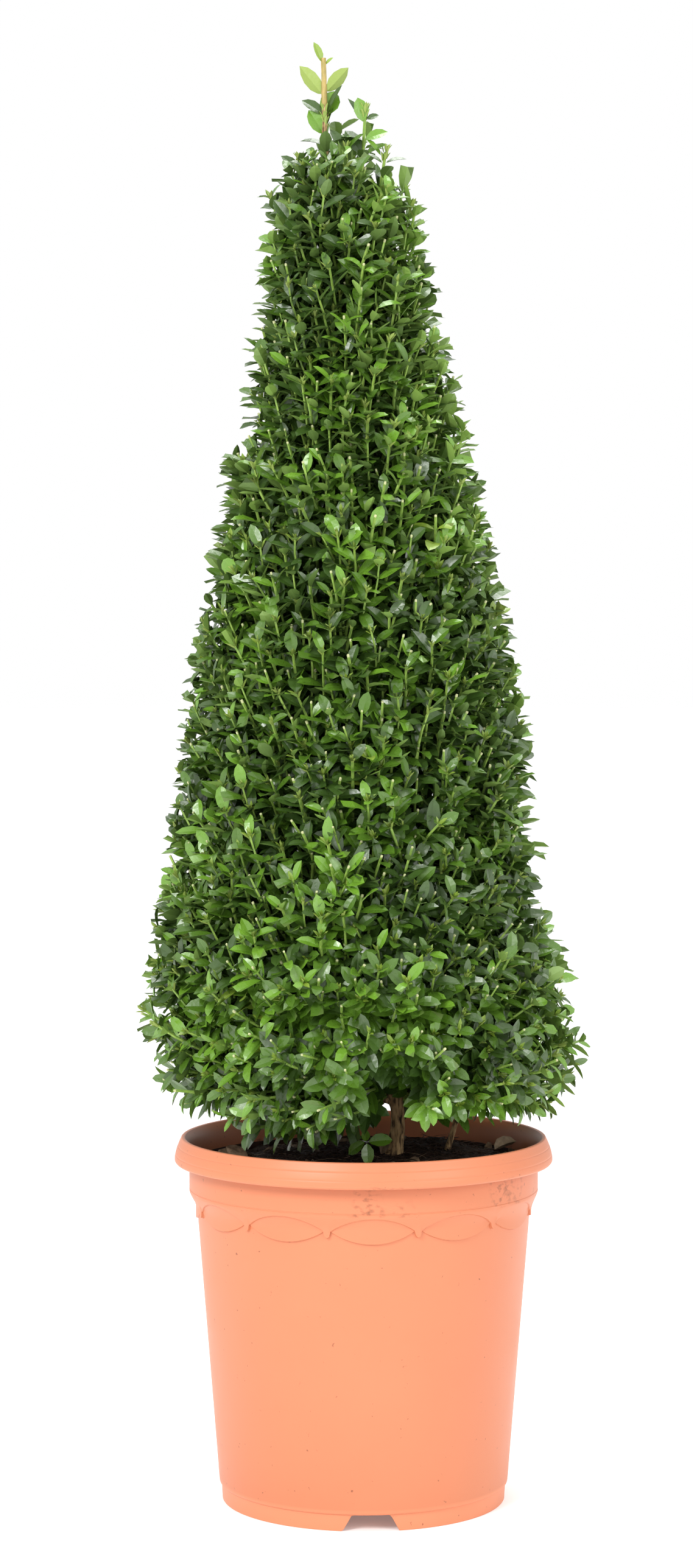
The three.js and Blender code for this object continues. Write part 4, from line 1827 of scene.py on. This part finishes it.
    def _emboss(self, shape: bmesh.types.BMesh, rows: Sequence[Row]) -> list[int]:
        """Moves the ornament's circles onto its scalloped edges and raises its steps.

        Args:
            shape: The turned pot.
            rows: Its circles.

        Returns:
            The number of each vertex's circle.
        """
        shape.verts.index_update()
        points = np.array([vert.co for vert in shape.verts])
        radius = np.hypot(points[:, 0], points[:, 1])
        angle = np.arctan2(points[:, 0], -points[:, 1])
        nominal = np.array([(row.radius, row.height) for row in rows])
        gap = np.abs(radius[:, None] - nominal[:, 0]) + np.abs(points[:, 2:3] - nominal[:, 1])
        row = gap.argmin(axis=1)
        pendant = math.radians(self.lens_azimuth + 180 / self.lenses)
        angle = angle - self.crowding / self.lenses * np.sin(self.lenses * (angle - pendant))
        low, high = self.edges_at(np.degrees(angle))
        height, reach = points[:, 2].copy(), radius.copy()
        spans = {
            Zone.WALL: (np.full_like(low, self.ornament_foot), low - self.edge, 0.0),
            Zone.LENS: (low + self.edge, high - self.edge, self.step),
            Zone.BAND: (high + self.edge, np.full_like(low, self.ornament_top), 0.0),
        }
        for zone, (start, end, sunk) in spans.items():
            mine = np.array([item.zone is zone for item in rows])[row]
            share = np.array([item.share for item in rows])[row]
            end = np.maximum(end, start + 0.05 * MM)
            height[mine] = (start + (end - start) * share)[mine]
            outer = self.wall_radius(height) if zone is Zone.WALL else self.band_radius(height) - sunk
            reach[mine] = np.asarray(outer)[mine]
        wavy = 1 + 0.0012 * np.sin(2 * angle + 0.6) + 0.0008 * np.sin(3 * angle + 2.0)
        reach = reach * np.where(height < 0.262, wavy, 1.0)
        moved = np.stack([reach * np.sin(angle), -reach * np.cos(angle), height], axis=1)
        for vert, place in zip(shape.verts, moved.tolist()):
            vert.co = place
        return row.tolist()

    def _foot(self) -> bpy.types.Object:
        """The foot ring, cut away by three drainage notches."""
        top, notch, slant = 14.6 * MM, 12.5 * MM, 7 * MM
        half_notch, radius = 22 * MM, 112 * MM
        profile = [(110.6, 14.6), (110.1, 6.0), (109.9, 0.6), (110.3, 0.0), (111.6, 0.0),
                   (112.0, 0.5), (112.4, 7.0), (112.8, 14.6), (110.6, 14.6)]
        shape = spun([(r * MM, z * MM) for r, z in profile], 360)
        for vert in shape.verts:
            azimuth = math.degrees(math.atan2(vert.co.x, -vert.co.y)) - self.lens_azimuth
            off = abs((azimuth + 60) % 120 - 60) * math.radians(1) * radius
            cut = notch * min(max((half_notch - off) / slant, 0), 1)
            vert.co.z = cut + vert.co.z * (1 - cut / top)
        return as_object("pot_foot", shape, [self.outside], 35)


# ------------------------------------------------------------------ the soil and its litter


@dataclass
class SoilBed:
    """The peat in the pot, with fibres, crumbs, fallen leaves and rootlets on it."""

    rng: np.random.Generator
    peat: bpy.types.Material
    fibre: bpy.types.Material
    pale: bpy.types.Material
    dead: Sequence[bpy.types.Material]
    clods: float = 3.2 * MM
    fibres: int = 1500
    crumbs: int = 900
    small_leaves: int = 26
    bottom: float = 0.247
    top: float = 0.27
    spread: float = 0.133
    fibre_spread: float = 0.125

    def ground(self, points: np.ndarray) -> np.ndarray:
        """Height of the soil at points, without its finest relief."""
        x, y = points[:, 0], points[:, 1]
        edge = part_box("pot")[1].z - 26.5 * MM
        dome = 9 * MM * np.clip(1 - (x**2 + y**2) / 0.136**2, 0, 1)
        mound = 9 * MM * np.exp(-(((x - 0.058) / 0.045) ** 2) - ((y - 0.045) / 0.05) ** 2)
        flat = np.stack([x, y, np.zeros_like(x)], axis=1)
        lumps = relief(flat, (42.0, 42.0, 1.0), 3, 2.0)
        return edge + dome + mound + self.clods * lumps

    def build(self) -> None:
        """Models the bed and what lies on it."""
        finish_piece(self._bed(), ["soil"])
        finish_piece(self._fibres("soil_fibres", self.fibres, (6, 20), 0.35, self.fibre))
        finish_piece(self._fibres("soil_rootlets", 70, (10, 34), 0.28, self.pale))
        finish_piece(self._crumbs())
        finish_piece(self._fallen())

    def _bed(self) -> bpy.types.Object:
        """The soil itself, closed underneath."""
        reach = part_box("soil")[1].x
        rings = 56
        top = [(reach * i / rings, self.top) for i in range(rings, -1, -1)]
        shape = spun([(0, self.bottom), (reach - 0.5 * MM, self.bottom), *top], 200)
        upper = [vert for vert in shape.verts if vert.co.z > self.top - 1 * MM]
        places = np.array([vert.co for vert in upper])
        height = self.ground(places)
        fine = relief(places, (230.0, 230.0, 1.0), 4, 7.0)
        for vert, z, crumb in zip(upper, height.tolist(), fine.tolist()):
            vert.co.z = z + 1.5 * MM * crumb
        return as_object("soil_bed", shape, [self.peat], 180)

    def _spots(self, count: int, within: float) -> np.ndarray:
        """Random points on the soil, within a distance of its middle."""
        radius = within * np.sqrt(self.rng.random(count))
        flat = outward(self.rng.uniform(0, 360, count)) * radius[:, None]
        flat[:, 2] = self.ground(flat)
        return flat

    def _fibres(
        self, name: str, count: int, lengths: tuple[float, float], radius: float,
        finish: bpy.types.Material,
    ) -> bpy.types.Object:
        """Thin curved strands lying on the soil.

        Args:
            name: The piece's name.
            count: How many.
            lengths: Shortest and longest, in millimetres.
            radius: Their thickness, in millimetres.
            finish: Their material.

        Returns:
            The object.
        """
        rng = self.rng
        start = self._spots(count, self.fibre_spread)
        run = unit(outward(rng.uniform(0, 360, count)) + UP * rng.normal(0.05, 0.12, (count, 1)))
        length = rng.uniform(*lengths, (count, 1)) * MM
        end = start + run * length
        end[:, 2] = np.maximum(self.ground(end), end[:, 2]) + 0.4 * MM
        bow = rng.normal(0, 0.22, (count, 3)) * length
        knee = (start + end) / 2 + bow * [1, 1, 0.25] + UP * 1.2 * MM
        inside = np.linalg.norm(end[:, :2], axis=1) < self.spread
        share = np.tile(np.linspace(0, 1, 5), (int(inside.sum()), 1))
        paths, _ = bezier((start[inside], knee[inside], end[inside]), share)
        pattern = bar_pattern(3, 5)
        radii = radius * MM * (1 - 0.7 * np.abs(share - 0.4)) * rng.uniform(0.5, 1.3, (len(paths), 1))
        bundle = Bundle(name, [finish])
        bundle.add(pattern, bent(pattern, paths, radii))
        return bundle.build()

    def _crumbs(self) -> bpy.types.Object:
        """Small angular crumbs of peat and bark."""
        shape = bmesh.new()
        bmesh.ops.create_icosphere(shape, subdivisions=1, radius=1)
        pattern = Pattern.of(shape)
        spots = self._spots(self.crumbs, self.spread)
        sizes = self.rng.uniform(0.7, 2.6, (self.crumbs, 1, 3)) * MM * [1.0, 1.0, 0.6]
        uneven = self.rng.uniform(0.6, 1.3, (self.crumbs, len(pattern.points), 1))
        bundle = Bundle("soil_crumbs", [self.peat])
        bundle.add(pattern, spots[:, None, :] + pattern.points * sizes * uneven)
        return bundle.build(smooth=False)

    def _fallen(self) -> bpy.types.Object:
        """Dead curled leaves at named places, and small ones scattered at random."""
        rng = self.rng
        named = np.array([
            (-119, 18, 26), (-103, 34, 24), (-92, 10, 20), (106, 44, 20), (98, 60, 17),
            (14, -6, 19), (-60, 70, 15), (118, 6, 15), (-30, -96, 15), (60, -70, 14),
        ])
        upright = 5
        spots = np.vstack([named[:, :2] * MM, self._spots(self.small_leaves, self.spread)[:, :2]])
        base = np.column_stack([spots, np.zeros(len(spots))])
        base[:, 2] = self.ground(base) + 2.2 * MM
        total = len(base)
        length = np.concatenate([named[:, 2], rng.uniform(8, 15, self.small_leaves)]) * MM
        heading = unit(outward(rng.uniform(0, 360, total)) + UP * rng.uniform(0.0, 0.5, (total, 1)))
        heading[upright] = unit(np.array([0.25, -0.1, 1.0]))
        face = rng.normal(0, 0.4, (total, 3)) + UP
        face[upright] = (0.3, -1.0, 0.1)
        face = unit(face - heading * np.sum(face * heading, axis=1, keepdims=True))
        leaves = Leaves(
            base=base, heading=heading, face=face, length=length,
            width=length * rng.uniform(0.42, 0.6, total), fold=rng.uniform(0.3, 1.1, total),
            curl=rng.normal(0.9, 0.6, total), twist=rng.normal(0, 0.5, total),
            tone=np.zeros(total, int), region=np.zeros(total, int),
        )
        pattern = Leaf.FULL.value.pattern()
        bundle = Bundle("fallen_leaves", self.dead)
        bundle.add(pattern, leaves.placed(pattern, Leaf.FULL.value.thickness))
        return bundle.build()


# ------------------------------------------------------------------ studio


@dataclass
class Studio:
    """The pale floor, the soft light and the camera."""

    distance: float = 2.705
    eye: float = 0.684
    left: float = 0.0135
    pitch: float = 2.47
    lens: float = 78.7
    sky: float = 1.0
    glow: float = 0.14
    middle: float = 0.6
    lights: tuple[tuple[str, tuple[float, float, float], float, float], ...] = (
        ("key", (-1.5, -2.3, 2.2), 1.1, 76),
        ("fill", (2.0, -1.9, 1.5), 1.4, 26),
        ("top", (0.2, 0.3, 2.9), 1.2, 44),
    )

    def build(self) -> None:
        """Sets up everything round the object."""
        self._floor()
        self._world()
        for light in self.lights:
            self._light(*light)
        self._camera()

    def _floor(self) -> None:
        """A wide pale floor in the plane that the pot stands on."""
        shape = bmesh.new()
        bmesh.ops.create_grid(shape, x_segments=1, y_segments=1, size=30)
        shader = Shader("studio_floor", 0.9, 0.2)
        shader.colour((0.9, 0.9, 0.9))
        shader.surface.inputs["Emission Color"].default_value = (1.0, 1.0, 1.0, 1.0)
        shader.surface.inputs["Emission Strength"].default_value = self.glow
        as_object("studio_floor", shape, [shader.material])

    def _world(self) -> None:
        """An even white sky."""
        world = bpy.data.worlds.new("studio_sky")
        world.use_nodes = True
        sky = world.node_tree.nodes["Background"]
        sky.inputs["Color"].default_value = (1.0, 1.0, 1.0, 1.0)
        sky.inputs["Strength"].default_value = self.sky
        bpy.context.scene.world = world

    def _light(self, name: str, place: tuple[float, float, float], size: float, power: float) -> None:
        """A square soft light that looks at the middle of the plant.

        Args:
            name: The light's name.
            place: Where it hangs.
            size: Length of its sides.
            power: Its power in watts.
        """
        data = bpy.data.lights.new(f"{name}_light", "AREA")
        data.shape = "SQUARE"
        data.size = size
        data.energy = power
        made = bpy.data.objects.new(f"{name}_light", data)
        made.location = place
        look = Vector((0, 0, self.middle)) - Vector(place)
        made.rotation_euler = look.to_track_quat("-Z", "Y").to_euler()
        bpy.context.scene.collection.objects.link(made)

    def _camera(self) -> None:
        """A level camera a little left of the pot's axis, looking slightly down."""
        data = bpy.data.cameras.new("camera")
        data.lens = self.lens
        data.sensor_width = 36
        data.clip_start = 0.1
        data.clip_end = 100
        made = bpy.data.objects.new("camera", data)
        made.location = (-self.left, -self.distance, self.eye)
        made.rotation_euler = (math.radians(90 - self.pitch), 0, 0)
        bpy.context.scene.collection.objects.link(made)
        bpy.context.scene.camera = made
        bpy.context.scene.view_settings.view_transform = "Standard"


# ------------------------------------------------------------------ assembly


def main() -> None:
    """Builds the plant, its pot and the studio around the frame."""
    logging.basicConfig(level=logging.INFO, format="%(name)s: %(message)s")
    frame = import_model()
    Studio().build()

    foliage = [name for name in frame["nodes"] if name.startswith(("crown", "skirt", "tuft", "sprig"))]
    foliage.append("leader_leaves")
    wooden = [name for name in frame["nodes"] if name.startswith(("bough", "main", "side"))]
    crown = Crown({name: Solid(frame["nodes"][name]) for name in sorted(foliage)})
    limbs = {name: Solid(frame["nodes"][name]) for name in sorted(wooden)}

    tan = stem_skin("young_wood", (0.42, 0.3, 0.1), (0.27, 0.22, 0.06))
    wood = Woodwork(limbs, Bark().make(), tan)
    wood.build()
    cone = ["crown_cone"]
    growth = Growth(crown, wood, np.random.default_rng(GROWTH_SEED))
    Plant(
        growth=growth,
        leafage=Leafage(growth),
        nodes_of={
            Region.SKIRT: [n for n in foliage if n.startswith(("skirt", "sprig"))],
            Region.CONE_LOW: cone,
            Region.CONE_MIDDLE: cone,
            Region.CONE_HIGH: cone,
            Region.TUFTS: [n for n in foliage if n.startswith(("tuft", "leader"))],
        },
        green=stem_skin("green_stem", (0.27, 0.4, 0.07), (0.16, 0.28, 0.05)),
        brown=stem_skin("twig_bark", (0.16, 0.13, 0.06), (0.07, 0.06, 0.03), 0.75),
        pith=litter("cut_wood", (0.5, 0.52, 0.27), 0.12, 0.7),
    ).build()

    Pot(MouldedPlastic().make(), SHADE_PAINTED_INSIDE.make()).build()
    SoilBed(
        rng=np.random.default_rng(SOIL_SEED),
        dead=[litter("dead_leaf_top", (0.2, 0.135, 0.085), 0.35, 0.7),
              litter("dead_leaf_under", (0.3, 0.215, 0.14), 0.3, 0.75)],
        peat=PEAT.make(),
        fibre=litter("fibre", (0.05, 0.026, 0.015), 0.3, 0.85),
        pale=litter("rootlet", (0.36, 0.26, 0.16), 0.2, 0.7),
    ).build()


if __name__ == "__main__":
    main()
